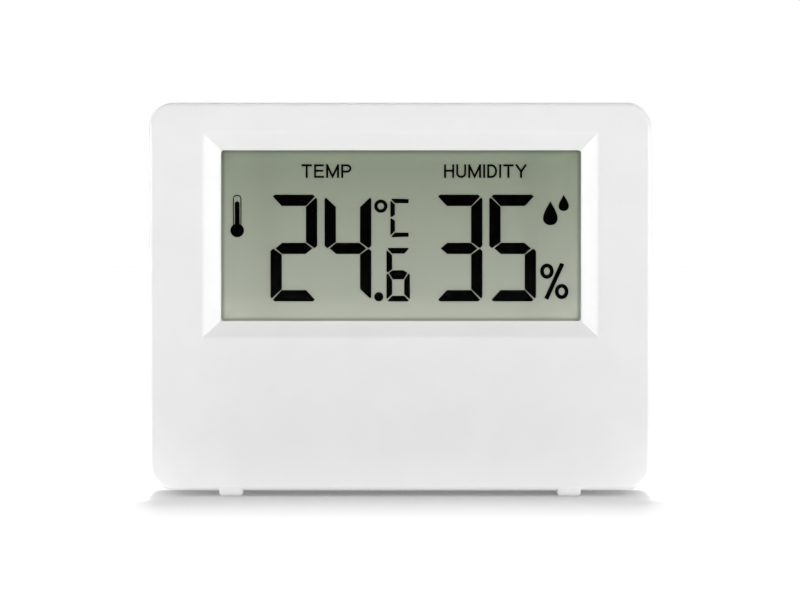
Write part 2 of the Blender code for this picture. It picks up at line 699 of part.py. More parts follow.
def vent_heights():
    """The z of each vent slot, spread evenly about the sensors."""
    middle = (VENT_COUNT - 1) / 2
    return [CONTROLS_HEIGHT + (index - middle) * VENT_PITCH for index in range(VENT_COUNT)]


def button_places():
    """The x of each push button, by the name of what it does."""
    return {"unit": BUTTON_FIRST_X, "memory": BUTTON_LAST_X}


def rear_wall_cutters():
    """Cutters for the vents, the button holes and the sunk screw holes."""
    cutters = []
    left, right = VENT_CENTRE_X - VENT_LENGTH / 2, VENT_CENTRE_X + VENT_LENGTH / 2
    half = VENT_WIDTH / 2
    for height in vent_heights():
        bottom, top = height - half, height + half
        corners = [(left, bottom), (right, bottom), (right, top), (left, top)]
        outline = filleted([(x, z, half * ROUND_END) for x, z in corners])
        cutters.append(prism("vent", outline, WALL_CUT_FRONT, PAST_BACK))
    hole = BUTTON_RADIUS + FIT_GAP
    for x in button_places().values():
        cutters.append(rear_rod("button_hole", hole, x, CONTROLS_HEIGHT, WALL_CUT_FRONT, PAST_BACK))
    sink, shank = SCREW_HEAD_RADIUS + FIT_GAP, SCREW_SHANK_RADIUS + LAYER_GAP
    for x, z in boss_places():
        cutters.append(rear_rod("sink", sink, x, z, SCREW_SEAT - LAYER_GAP, PAST_BACK))
        cutters.append(rear_rod("shank_hole", shank, x, z, BOARD_BACK - OVERLAP, SCREW_SEAT))
    return cutters


def rear_cover():
    """Rear shell with everything that is moulded into it."""
    cover = join(rear_shell(), *rear_additions())
    cut(
        cover,
        *battery_bay_cutters(),
        *stand_channel_cutters(),
        *keyhole_cutters(),
        *rear_wall_cutters(),
    )
    return finish(cover, WHITE_PLASTIC, 0.45)


def case_screws():
    """Four self-tapping screws with pan heads and cross slots, put in from the back."""
    screws = []
    tip = SCREW_SHANK_LENGTH - SCREW_TIP_LENGTH
    profile = [
        (0, SCREW_HEAD_HEIGHT),
        (SCREW_CROWN_RADIUS, SCREW_HEAD_HEIGHT),
        (SCREW_HEAD_RADIUS, SCREW_HEAD_HEIGHT - SCREW_CROWN_DROP),
        (SCREW_HEAD_RADIUS, 0),
        (SCREW_SHANK_RADIUS, 0),
        (SCREW_SHANK_RADIUS, -tip),
        (0, -SCREW_SHANK_LENGTH),
    ]
    slot_front = FLUSH_DEPTH - SCREW_SLOT_DEPTH
    slot_back = FLUSH_DEPTH + BEYOND
    for number, (x, z) in enumerate(boss_places(), start=1):
        centre = (x, depth_to_y(SCREW_SEAT), z)
        screw = turned(f"case_screw_{number}", profile, centre, (0, 1, 0), SMALL_ROUND_SIDES)
        long, short = SCREW_SLOT_LENGTH / 2, SCREW_SLOT_WIDTH / 2
        cut(
            screw,
            block("slot", x - long, x + long, z - short, z + short, slot_front, slot_back),
            block("slot", x - short, x + short, z - long, z + long, slot_front, slot_back),
        )
        screws.append(finish(screw, STEEL, 0.35, metallic=1.0))
    return screws


# Display


def display_layer(name, half, bottom, top, depth, thickness):
    """One flat rectangular layer of the display."""
    return block(name, -half, half, bottom, top, depth, depth + thickness)


def display_layers():
    """Lens, its adhesive frame and the layers of the liquid crystal cell."""
    tape = display_layer("lens_tape", GLASS_HALF, GLASS_BOTTOM, GLASS_TOP, TAPE_DEPTH, TAPE_THICKNESS)
    cut(
        tape,
        block(
            "opening",
            -WINDOW_WIDTH / 2 - TAPE_MARGIN,
            WINDOW_WIDTH / 2 + TAPE_MARGIN,
            WINDOW_BOTTOM - TAPE_MARGIN,
            WINDOW_TOP + TAPE_MARGIN,
            TAPE_DEPTH - BEYOND,
            TAPE_DEPTH + BEYOND,
        ),
    )
    finish(tape, BLACK, 0.8)
    lens = display_layer("display_lens", GLASS_HALF, GLASS_BOTTOM, GLASS_TOP, LENS_DEPTH, LENS_THICKNESS)
    finish(lens, CLEAR_PLASTIC, 0.05, transmission=1.0)
    film_half = GLASS_HALF - FILM_INSET
    film_bottom, film_top = LEDGE_TOP + FILM_INSET, GLASS_TOP - FILM_INSET
    film = display_layer(
        "front_polariser", film_half, film_bottom, film_top, FRONT_FILM_DEPTH, FILM_THICKNESS
    )
    finish(film, DISPLAY_GREY, 0.3, transmission=0.5)
    front_glass = display_layer(
        "front_glass", GLASS_HALF, GLASS_BOTTOM, GLASS_TOP, FRONT_GLASS_DEPTH, GLASS_THICKNESS
    )
    finish(front_glass, CLEAR_PLASTIC, 0.05, transmission=1.0)
    rear_glass = display_layer(
        "rear_glass", GLASS_HALF, LEDGE_TOP, GLASS_TOP, REAR_GLASS_DEPTH, GLASS_THICKNESS
    )
    finish(rear_glass, CLEAR_PLASTIC, 0.05, transmission=1.0)
    reflector = display_layer(
        "rear_reflector", film_half, film_bottom, film_top, REFLECTOR_DEPTH, FILM_THICKNESS
    )
    finish(reflector, DISPLAY_GREY, 0.5)
    return [tape, lens, film, front_glass, rear_glass, reflector]


def display_supports():
    """The rubber connector strip and the foam strip between the glass and the board."""
    strip_half = GLASS_HALF - ZEBRA_INSET
    zebra_depth = REAR_GLASS_DEPTH
    zebra_back = BOARD_DEPTH - LAYER_GAP
    zebra = block(
        "connector_strip",
        -strip_half,
        strip_half,
        GLASS_BOTTOM + LAYER_GAP,
        LEDGE_TOP - FIT_GAP,
        zebra_depth,
        zebra_back,
    )
    finish(zebra, STRIP_PINK, 0.7)
    foam_top = GLASS_TOP - FILM_INSET
    foam = block(
        "foam_strip",
        -strip_half,
        strip_half,
        foam_top - FOAM_HEIGHT,
        foam_top,
        REFLECTOR_BACK + LAYER_GAP,
        BOARD_DEPTH - LAYER_GAP,
    )
    finish(foam, BLACK, 0.95)
    return [zebra, foam]


# Circuit board


def circuit_board():
    """Board clamped between the screw posts of the two covers."""
    outline = rectangle(BOARD_HALF, BOARD_BOTTOM, BOARD_TOP, BOARD_CORNER_RADIUS)
    board = prism("circuit_board", outline, BOARD_DEPTH, BOARD_BACK)
    radius = SCREW_SHANK_RADIUS + LAYER_GAP
    front, back = BOARD_DEPTH - BEYOND, BOARD_BACK + BEYOND
    cut(board, *[rear_rod("hole", radius, x, z, front, back) for x, z in boss_places()])
    return finish(board, BOARD_GREEN, 0.5)


def on_board(x, z, lift=LAYER_GAP):
    """A point on the back of the board."""
    return Vector((x, depth_to_y(BOARD_BACK + lift), z))


def chip_cover():
    """Domed resin cover over the bare chip."""
    arc = [math.pi / 2 * step / ARC_STEPS for step in range(ARC_STEPS + 1)]
    profile = [(0, 0)]
    profile += [(CHIP_COVER_RADIUS * math.cos(a), CHIP_COVER_HEIGHT * math.sin(a)) for a in arc[:-1]]
    profile += [(0, CHIP_COVER_HEIGHT)]
    dome_height = BED_TOP + BOSS_CLEARANCE + CHIP_COVER_RADIUS
    dome = turned("chip_cover", profile, on_board(0, dome_height), (0, 1, 0), ROUND_SIDES)
    return finish(dome, BLACK, 0.3)


def clock_crystal():
    """Quartz crystal in a metal can, lying on the board."""
    x = -BUTTON_FIRST_X - CRYSTAL_LENGTH / 2
    start = on_board(x, LOW_BOSS_HEIGHT, LAYER_GAP + CRYSTAL_RADIUS)
    can = rod("clock_crystal", CRYSTAL_RADIUS, start, (1, 0, 0), CRYSTAL_LENGTH)
    return finish(can, STEEL, 0.25, metallic=1.0)


def humidity_sensor():
    """Humidity sensor with its round air port, behind the vents."""
    x = VENT_CENTRE_X - VENT_LENGTH / 4
    half = SENSOR_SIDE / 2
    back = BOARD_BACK + LAYER_GAP + SENSOR_HEIGHT
    sensor = block(
        "humidity_sensor",
        x - half,
        x + half,
        CONTROLS_HEIGHT - half,
        CONTROLS_HEIGHT + half,
        BOARD_BACK + LAYER_GAP,
        back,
    )
    port_front = back - SENSOR_PORT_DEPTH
    cut(sensor, rear_rod("port", SENSOR_PORT_RADIUS, x, CONTROLS_HEIGHT, port_front, back + BEYOND))
    return finish(sensor, SENSOR_WHITE, 0.5)


def temperature_sensor():
    """Bead thermistor held off the board on its two legs, behind the vents."""
    x = VENT_CENTRE_X + VENT_LENGTH / 4
    arc = [math.pi * step / ARC_STEPS for step in range(1, ARC_STEPS)]
    profile = [(0, BEAD_RADIUS)]
    profile += [(BEAD_RADIUS * math.sin(a), BEAD_RADIUS * math.cos(a)) for a in arc]
    profile += [(0, -BEAD_RADIUS)]
    centre = on_board(x, CONTROLS_HEIGHT, BEAD_STANDOFF)
    bead = turned("temperature_sensor", profile, centre, (0, 1, 0), SMALL_ROUND_SIDES)
    for side in (-1, 1):
        foot_point = on_board(x + side * BEAD_LEG_SPREAD, CONTROLS_HEIGHT)
        direction = (centre - foot_point).normalized()
        length = (centre - foot_point).length
        join(bead, rod("leg", BEAD_LEG_RADIUS, foot_point + direction * LAYER_GAP, direction, length))
    return finish(bead, BLACK, 0.35)


def small_chips():
    """Two capacitors and two resistors, soldered in a row."""
    names = ["capacitor_1", "capacitor_2", "resistor_1", "resistor_2"]
    colours = [CERAMIC_TAN] * 2 + [BLACK] * 2
    chips = []
    for index, (name, colour) in enumerate(zip(names, colours)):
        left = BUTTON_FIRST_X + index * 2 * SMALL_CHIP_LENGTH - SMALL_CHIP_LENGTH
        bottom = LOW_BOSS_HEIGHT
        chip = block(
            name,
            left,
            left + SMALL_CHIP_LENGTH,
            bottom,
            bottom + SMALL_CHIP_WIDTH,
            BOARD_BACK + LAYER_GAP,
            BOARD_BACK + LAYER_GAP + SMALL_CHIP_HEIGHT,
        )
        chips.append(finish(chip, colour, 0.5))
    return chips


# Push buttons


def push_button(kind, x):
    """A switch on the board, its plunger, and the button in the rear cover that presses it."""
    half = SWITCH_SIDE / 2
    bottom, top = CONTROLS_HEIGHT - half, CONTROLS_HEIGHT + half
    switch = block(f"{kind}_switch", x - half, x + half, bottom, top, SWITCH_DEPTH, SWITCH_BACK)
    plunger_front = SWITCH_BACK - PLUNGER_ENGAGEMENT
    well_front = plunger_front - BUTTON_TRAVEL - FIT_GAP
    well_radius = PLUNGER_RADIUS + FIT_GAP
    cut(
        switch,
        rear_rod("well", well_radius, x, CONTROLS_HEIGHT, well_front, SWITCH_BACK + BEYOND),
    )
    finish(switch, SWITCH_GREY, 0.5)
    plunger = rear_rod(
        f"{kind}_plunger", PLUNGER_RADIUS, x, CONTROLS_HEIGHT, plunger_front, PLUNGER_BACK
    )
    finish(plunger, PLUNGER_BROWN, 0.5)
    length = FLUSH_DEPTH - BUTTON_DEPTH
    flange_top = REAR_WALL_INSIDE - FIT_GAP - BUTTON_DEPTH
    flange_bottom = flange_top - BUTTON_FLANGE_THICKNESS
    stem_radius = PLUNGER_RADIUS
    edge = BUTTON_DISH_DEPTH
    profile = [
        (0, 0),
        (stem_radius, 0),
        (stem_radius, flange_bottom),
        (BUTTON_FLANGE_RADIUS, flange_bottom),
        (BUTTON_FLANGE_RADIUS, flange_top),
        (BUTTON_RADIUS, flange_top),
        (BUTTON_RADIUS, length - edge),
        (BUTTON_RADIUS - edge, length),
        (BUTTON_RADIUS - 2 * edge, length),
        (BUTTON_RADIUS / 2, length - edge),
        (0, length - edge),
    ]
    foot_point = Vector((x, depth_to_y(BUTTON_DEPTH), CONTROLS_HEIGHT))
    button = turned(f"{kind}_button", profile, foot_point, (0, 1, 0), ROUND_SIDES)
    set_origin(button, foot_point)
    finish(button, BUTTON_GREY, 0.5)
    return [switch, plunger, button]


# Battery


def battery_cell():
    """One small round cell lying across the bay, with its nub to the right."""
    radius = CELL_DIAMETER / 2
    shoulder = CELL_LENGTH - CELL_NUB_LENGTH
    nub_edge = CELL_EDGE / 2
    profile = [
        (0, 0),
        (radius - CELL_EDGE, 0),
        (radius, CELL_EDGE),
        (radius, shoulder - CELL_EDGE),
        (radius - CELL_EDGE, shoulder),
        (CELL_NUB_RADIUS, shoulder),
        (CELL_NUB_RADIUS, CELL_LENGTH - nub_edge),
        (CELL_NUB_RADIUS - nub_edge, CELL_LENGTH),
        (0, CELL_LENGTH),
    ]
    start = (CELL_MINUS_X, depth_to_y(CELL_CENTRE_DEPTH), CELL_CENTRE_HEIGHT)
    cell = turned("battery_cell", profile, start, (1, 0, 0), ROUND_SIDES)
    return finish(cell, CELL_BLUE, 0.35, metallic=0.5)


def contact_plate(name, plate_left):
    """Flat contact in one end of the bay, with a solder tab that rises behind the board."""
    half = CONTACT_WIDTH / 2
    front, back = CELL_CENTRE_DEPTH - half, CELL_CENTRE_DEPTH + half
    right = plate_left + CONTACT_THICKNESS
    plate = block(name, plate_left, right, BAY_BOTTOM + FIT_GAP, BAY_TOP - FIT_GAP, front, back)
    tab_front = BOARD_BACK + FIT_GAP
    tab_top = BOARD_BOTTOM + CONTACT_TAB_RISE
    tab_back = tab_front + CONTACT_TAB_WIDTH
    tab_bottom = BAY_TOP - FIT_GAP - OVERLAP
    join(plate, block("tab", plate_left, right, tab_bottom, tab_top, tab_front, tab_back))
    return finish(plate, NICKEL, 0.3, metallic=1.0)


def spring_points():
    """Centre line of the spring: a helix about the cell's axis that narrows towards the cell."""
    count = int(SPRING_TURNS * SPRING_STEPS_PER_TURN)
    first = SPRING_WIDE_X + SPRING_WIRE_RADIUS
    last = SPRING_NARROW_X - SPRING_WIRE_RADIUS
    points = []
    for step in range(count + 1):
        share = step / count
        radius = SPRING_WIDE_RADIUS + (SPRING_NARROW_RADIUS - SPRING_WIDE_RADIUS) * share
        angle = 2 * math.pi * SPRING_TURNS * share
        y = depth_to_y(CELL_CENTRE_DEPTH) + radius * math.cos(angle)
        z = CELL_CENTRE_HEIGHT + radius * math.sin(angle)
        points.append(Vector((first + (last - first) * share, y, z)))
    return points


def least_coil_gap(points):
    """The least gap between two turns of the spring, measured between its points."""
    half_turn = SPRING_STEPS_PER_TURN // 2
    gaps = []
    for index, point in enumerate(points):
        for other in points[index + half_turn :]:
            gaps.append((point - other).length - 2 * SPRING_WIRE_RADIUS)
    return min(gaps)


def battery_spring():
    """Cone spring that presses on the flat end of the cell, as one round wire."""
    points = spring_points()
    print(f"battery_spring: least gap between turns {least_coil_gap(points) * 1000:.2f} mm")
    curve = bpy.data.curves.new("battery_spring", "CURVE")
    curve.dimensions = "3D"
    curve.bevel_depth = SPRING_WIRE_RADIUS
    curve.bevel_resolution = 1
    curve.use_fill_caps = True
    wire = curve.splines.new("POLY")
    wire.points.add(len(points) - 1)
    for target, point in zip(wire.points, points):
        target.co = (*point, 1.0)
    return finish(add_object("battery_spring", curve), NICKEL, 0.25, metallic=1.0)


def battery_door():
    """Door that lies flush in the back and swings out on two hooks along its lower edge."""
    outline = rectangle(DOOR_HALF, DOOR_BOTTOM, DOOR_TOP, DOOR_EDGE_RADIUS)
    door = prism("battery_door", outline, DOOR_FRONT, FLUSH_DEPTH)
    hook_front, hook_back = LEDGE_DEPTH - HOOK_THICKNESS, LEDGE_DEPTH
    root_back = DOOR_FRONT + OVERLAP
    root_bottom = DOOR_BOTTOM + LAYER_GAP
    root_top = DOOR_BOTTOM + HOOK_THICKNESS
    profile = [
        (hook_front, hook_tip_height()),
        (hook_back, hook_tip_height()),
        (hook_back, root_bottom),
        (root_back, root_bottom),
        (root_back, root_top),
        (hook_front, root_top),
    ]
    for side in (-1, 1):
        left = side * HOOK_SPACING / 2 - HOOK_WIDTH / 2
        join(door, side_prism("hook", profile, left, left + HOOK_WIDTH))
    notch_front = FLUSH_DEPTH - DOOR_NOTCH_DEPTH
    notch = rear_rod("notch", DOOR_NOTCH_RADIUS, 0, DOOR_TOP, notch_front, FLUSH_DEPTH + BEYOND)
    cut(door, notch)
    groove_front = FLUSH_DEPTH - GRIP_RIB_DEPTH
    grooves_bottom = DOOR_BOTTOM + GRIP_RIB_PITCH
    for index in range(GRIP_RIB_COUNT):
        bottom = grooves_bottom + index * GRIP_RIB_PITCH
        half = GRIP_RIB_LENGTH / 2
        top = bottom + GRIP_RIB_WIDTH
        cut(door, block("groove", -half, half, bottom, top, groove_front, FLUSH_DEPTH + BEYOND))
    set_origin(door, (0, depth_to_y(FLUSH_DEPTH), DOOR_BOTTOM))
    return finish(door, WHITE_PLASTIC, 0.45)


def stand():
    """Fold-out stand: an arch with round lower ends and a pivot pin out of each of them."""
    front = FLUSH_DEPTH - ARM_THICKNESS
    arm_bottom = PIVOT_HEIGHT - ARM_THICKNESS / 2
    outline = stand_outline(
        ARM_INNER_HALF, ARM_OUTER_HALF, arm_bottom, BAR_BOTTOM, BAR_TOP, STAND_CORNER_RADIUS
    )
    arch = prism("stand", outline, front, FLUSH_DEPTH)
    round_edges(arch, 2, arm_bottom, ARM_THICKNESS / 2 * ROUND_END)
    axis_y = depth_to_y(PIVOT_DEPTH)
    pin_length = ARM_WIDTH / 2 + PIVOT_PIN_LENGTH
    for side in (-1, 1):
        pin_start = (side * (ARM_OUTER_HALF - ARM_WIDTH / 2), axis_y, PIVOT_HEIGHT)
        join(arch, rod("pin", PIVOT_PIN_RADIUS, pin_start, (side, 0, 0), pin_length))
    set_origin(arch, (0, depth_to_y(PIVOT_DEPTH), PIVOT_HEIGHT))
    return finish(arch, WHITE_PLASTIC, 0.45)


def main():
    """Build every piece and hang them all on one empty at the origin."""
    clear_scene()
    pieces = [front_cover(), rear_cover()]
    pieces += case_screws()
    pieces += display_layers()
    pieces += display_supports()
    pieces += [circuit_board(), chip_cover(), clock_crystal(), humidity_sensor(), temperature_sensor()]
    pieces += small_chips()
    for kind, x in button_places().items():
        pieces += push_button(kind, x)
    pieces += [battery_cell(), battery_spring()]
    pieces += [contact_plate("positive_contact", PLUS_PLATE_X - CONTACT_THICKNESS)]
    pieces += [contact_plate("negative_contact", MINUS_PLATE_X)]
    pieces += [battery_door(), stand()]
    assembly = add_object("assembly", None)
    for piece in pieces:
        piece.parent = assembly


main()
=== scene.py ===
"""Looks of a small digital thermometer and hygrometer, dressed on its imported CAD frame.

Metres, +Z up, the display faces -Y. Sizes below are in millimetres where a name ends in _mm, and
depths are counted from the front face. Each sub-assembly is a class that builds and dresses itself.
"""

import logging
import math
from dataclasses import dataclass
from enum import Enum
from typing import ClassVar

import bmesh
import bpy
import numpy as np
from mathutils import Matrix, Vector


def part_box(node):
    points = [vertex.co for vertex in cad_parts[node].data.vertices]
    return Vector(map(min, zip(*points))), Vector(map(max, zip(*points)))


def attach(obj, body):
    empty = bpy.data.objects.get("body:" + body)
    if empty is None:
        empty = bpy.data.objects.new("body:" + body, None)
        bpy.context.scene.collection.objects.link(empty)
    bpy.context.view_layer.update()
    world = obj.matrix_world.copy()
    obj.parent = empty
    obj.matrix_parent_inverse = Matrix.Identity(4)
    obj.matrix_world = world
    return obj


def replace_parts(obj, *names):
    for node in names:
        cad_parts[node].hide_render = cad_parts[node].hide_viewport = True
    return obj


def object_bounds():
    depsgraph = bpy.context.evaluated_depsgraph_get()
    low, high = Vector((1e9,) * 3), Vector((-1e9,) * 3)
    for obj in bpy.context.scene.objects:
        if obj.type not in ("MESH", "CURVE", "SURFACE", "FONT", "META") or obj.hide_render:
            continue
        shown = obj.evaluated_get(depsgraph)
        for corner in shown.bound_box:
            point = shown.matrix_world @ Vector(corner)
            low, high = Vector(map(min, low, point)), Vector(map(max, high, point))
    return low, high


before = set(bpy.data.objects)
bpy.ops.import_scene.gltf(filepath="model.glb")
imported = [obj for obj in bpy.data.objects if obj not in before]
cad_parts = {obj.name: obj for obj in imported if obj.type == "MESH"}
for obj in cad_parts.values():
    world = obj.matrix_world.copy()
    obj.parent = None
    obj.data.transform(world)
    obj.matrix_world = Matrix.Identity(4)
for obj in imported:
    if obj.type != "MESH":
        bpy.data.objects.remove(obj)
CAD_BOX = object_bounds()

Colour = tuple[float, float, float]

LOG = logging.getLogger("thermometer")
MM = 0.001
WELD = 1e-7
FLAT_DEGREES = 0.5
SHARP_DEGREES = 32.0
NOISE_RANGE = (0.3, 0.7)


class Body(Enum):
    """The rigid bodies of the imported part."""

    HOUSING = "housing"
    STAND = "stand"
    DOOR = "battery_door"
    UNIT_BUTTON = "unit_button"
    MEMORY_BUTTON = "memory_button"


class Slot(Enum):
    """The record's material slots."""

    CASE = "white_plastic"
    BUTTON = "button_plastic"
    FILM = "display_film"
    SCREW = "screw_steel"
    CONTACT = "contact_nickel"
    CELL = "cell_can"


# Numpy surfaces


@dataclass(frozen=True)
class Patch:
    """A sheet of quads: points as rows of x, y, z and faces as rows of four point numbers."""

    points: np.ndarray
    quads: np.ndarray


def grid_patch(grid: np.ndarray, wrap_rows: bool = False, wrap_columns: bool = True) -> Patch:
    """Cover a grid of points with quads, each between two neighbours along both parameters.

    Args:
        grid: points as an array of rows, columns and x, y, z.
        wrap_rows: join the last row to the first.
        wrap_columns: join the last column to the first.

    Returns:
        The patch over the grid.
    """
    rows, columns = grid.shape[:2]
    number = np.arange(rows * columns).reshape(rows, columns)
    if wrap_rows:
        number = np.vstack([number, number[:1]])
    if wrap_columns:
        number = np.hstack([number, number[:, :1]])
    sides = [number[:-1, :-1], number[:-1, 1:], number[1:, 1:], number[1:, :-1]]
    return Patch(grid.reshape(-1, 3), np.stack(sides, axis=-1).reshape(-1, 4))


def mesh_piece(
    name: str, patches: list[Patch], sharp_degrees: float = SHARP_DEGREES
) -> bpy.types.Object:
    """Put patches into one mesh with welded seams, outward faces and smooth shading between creases.

    Args:
        name: name of the new object.
        patches: sheets of quads in metres, in the frame of the part.
        sharp_degrees: faces that meet at a steeper angle than this keep a crease.

    Returns:
        The new object, at the origin.
    """
    starts = np.cumsum([0] + [len(patch.points) for patch in patches[:-1]])
    points = np.concatenate([patch.points for patch in patches])
    quads = np.concatenate([patch.quads + start for patch, start in zip(patches, starts)])
    mesh = bpy.data.meshes.new(name)
    mesh.from_pydata(points.tolist(), [], quads.tolist())
    shape = bmesh.new()
    shape.from_mesh(mesh)
    bmesh.ops.remove_doubles(shape, verts=shape.verts, dist=WELD)
    bmesh.ops.recalc_face_normals(shape, faces=shape.faces)
    shape.to_mesh(mesh)
    shape.free()
    return show(name, mesh, sharp_degrees)


def show(name: str, mesh: bpy.types.Mesh, sharp_degrees: float) -> bpy.types.Object:
    """Link a mesh to the scene, shaded smooth between creases.

    Args:
        name: name of the new object.
        mesh: its mesh.
        sharp_degrees: faces that meet at a steeper angle than this keep a crease.

    Returns:
        The new object, at the origin.
    """
    mesh.shade_smooth()
    mesh.set_sharp_from_angle(angle=math.radians(sharp_degrees))
    made = bpy.data.objects.new(name, mesh)
    bpy.context.scene.collection.objects.link(made)
    return made


def rounded_rectangle(
    half: float, bottom: float, top: float, radius: float, arc: int = 14, side: int = 20
) -> np.ndarray:
    """Outline of a rectangle about x = 0: each corner's centre plus the radius times (cos, sin).

    Args:
        half: half its width.
        bottom: its lower edge's z.
        top: its upper edge's z.
        radius: radius of its corners.
        arc: steps along each corner.
        side: points between two corners.

    Returns:
        Points as rows of x and z, so that two outlines of one count can be lofted.
    """
    turns = np.radians([[-90.0], [0.0], [90.0], [180.0]]) + np.linspace(0, math.pi / 2, arc + 1)
    right, left = half - radius, radius - half
    low, high = bottom + radius, top - radius
    centres = np.array([[right, low], [right, high], [left, high], [left, low]])
    arcs = centres[:, None] + radius * np.stack([np.cos(turns), np.sin(turns)], axis=-1)
    share = np.linspace(0, 1, side + 2)[1:-1, None]
    ends = np.roll(arcs[:, 0], -1, axis=0)
    sides = arcs[:, -1:] * (1 - share) + ends[:, None] * share
    return np.concatenate([arcs, sides], axis=1).reshape(-1, 2)


def at_depth(outline: np.ndarray, depth: float) -> np.ndarray:
    """Place an outline of x and z at a depth behind the front face."""
    y = np.full(len(outline), CAD_BOX[0].y + depth)
    return np.stack([outline[:, 0], y, outline[:, 1]], axis=-1)


def revolve(profile: np.ndarray, centre: np.ndarray, axis: np.ndarray, sides: int = 48) -> Patch:
    """Turn a profile of (radius, distance) about an axis: centre + distance * axis + radius * spoke.

    Args:
        profile: rows of radius and distance.
        centre: point on the axis at distance 0.
        axis: unit vector along the axis.
        sides: steps round the axis.

    Returns:
        The turned surface, closed where its radius is 0.
    """
    across = np.cross(axis, [0.0, 0.0, 1.0])
    up = np.cross(across, axis)
    turn = np.linspace(0, 2 * math.pi, sides, endpoint=False)[None, :, None]
    spoke = np.cos(turn) * across + np.sin(turn) * up
    grid = centre + profile[:, 1, None, None] * axis + profile[:, 0, None, None] * spoke
    return grid_patch(grid)


def tube(path: np.ndarray, outward: np.ndarray, radius: float, sides: int = 12) -> Patch:
    """Carry a circle along a path: path + radius * (cos * normal + sin * binormal), ends drawn shut.

    Args:
        path: points along the middle of the wire.
        outward: a direction at each point that isn't along the path.
        radius: radius of the wire.
        sides: points round the wire.

    Returns:
        The closed tube.
    """
    along = np.gradient(path, axis=0)
    along /= np.linalg.norm(along, axis=1, keepdims=True)
    normal = outward - (outward * along).sum(axis=1, keepdims=True) * along
    normal /= np.linalg.norm(normal, axis=1, keepdims=True)
    binormal = np.cross(along, normal)
    turn = np.linspace(0, 2 * math.pi, sides, endpoint=False)[None, :, None]
    ring = np.cos(turn) * normal[:, None] + np.sin(turn) * binormal[:, None]
    grid = path[:, None] + radius * ring
    start, end = (np.repeat(path[i][None, None], sides, axis=1) for i in (0, -1))
    return grid_patch(np.concatenate([start, grid, end]))


def rounded_end(radius: float, end: float, edge: float, steps: int) -> np.ndarray:
    """Quarter circle from the side of a turned form to its end: middle + edge * (cos, sin).

    Args:
        radius: radius of the form's side.
        end: distance of its end along the axis.
        edge: radius of the rounded edge.
        steps: points along the quarter.

    Returns:
        Rows of radius and distance.
    """
    turn = np.linspace(0, math.pi / 2, steps)
    return np.stack([radius - edge + edge * np.cos(turn), end - edge + edge * np.sin(turn)], axis=-1)


def millimetres(box: tuple[Vector, Vector]) -> list[np.ndarray]:
    """Lower and upper corner of a box, in millimetres."""
    return [np.array(corner) / MM for corner in box]


def smooth_copy(
    node: str, name: str, edge: float, sharp_degrees: float = SHARP_DEGREES
) -> bpy.types.Object:
    """Copy a CAD node's mesh, weld its loose triangles, and break its sharp edges with a fine bevel.

    Args:
        node: name of the CAD node that the copy stands for.
        name: name of the new object.
        edge: width of the broken edges in metres.
        sharp_degrees: faces that meet at a steeper angle than this get a broken edge.

    Returns:
        The new object, which hides the node.
    """
    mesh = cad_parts[node].data.copy()
    shape = bmesh.new()
    shape.from_mesh(mesh)
    bmesh.ops.remove_doubles(shape, verts=shape.verts, dist=WELD)
    flat = math.radians(FLAT_DEGREES)
    bmesh.ops.dissolve_limit(shape, angle_limit=flat, verts=shape.verts, edges=shape.edges)
    shape.to_mesh(mesh)
    shape.free()
    made = show(name, mesh, sharp_degrees)
    bevel = made.modifiers.new("broken_edges", "BEVEL")
    bevel.width = edge
    bevel.segments = 2
    bevel.limit_method = "ANGLE"
    bevel.angle_limit = math.radians(sharp_degrees)
    even = made.modifiers.new("flat_faces", "WEIGHTED_NORMAL")
    even.weight = 100
    even.keep_sharp = True
    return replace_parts(made, node)


# Finishes


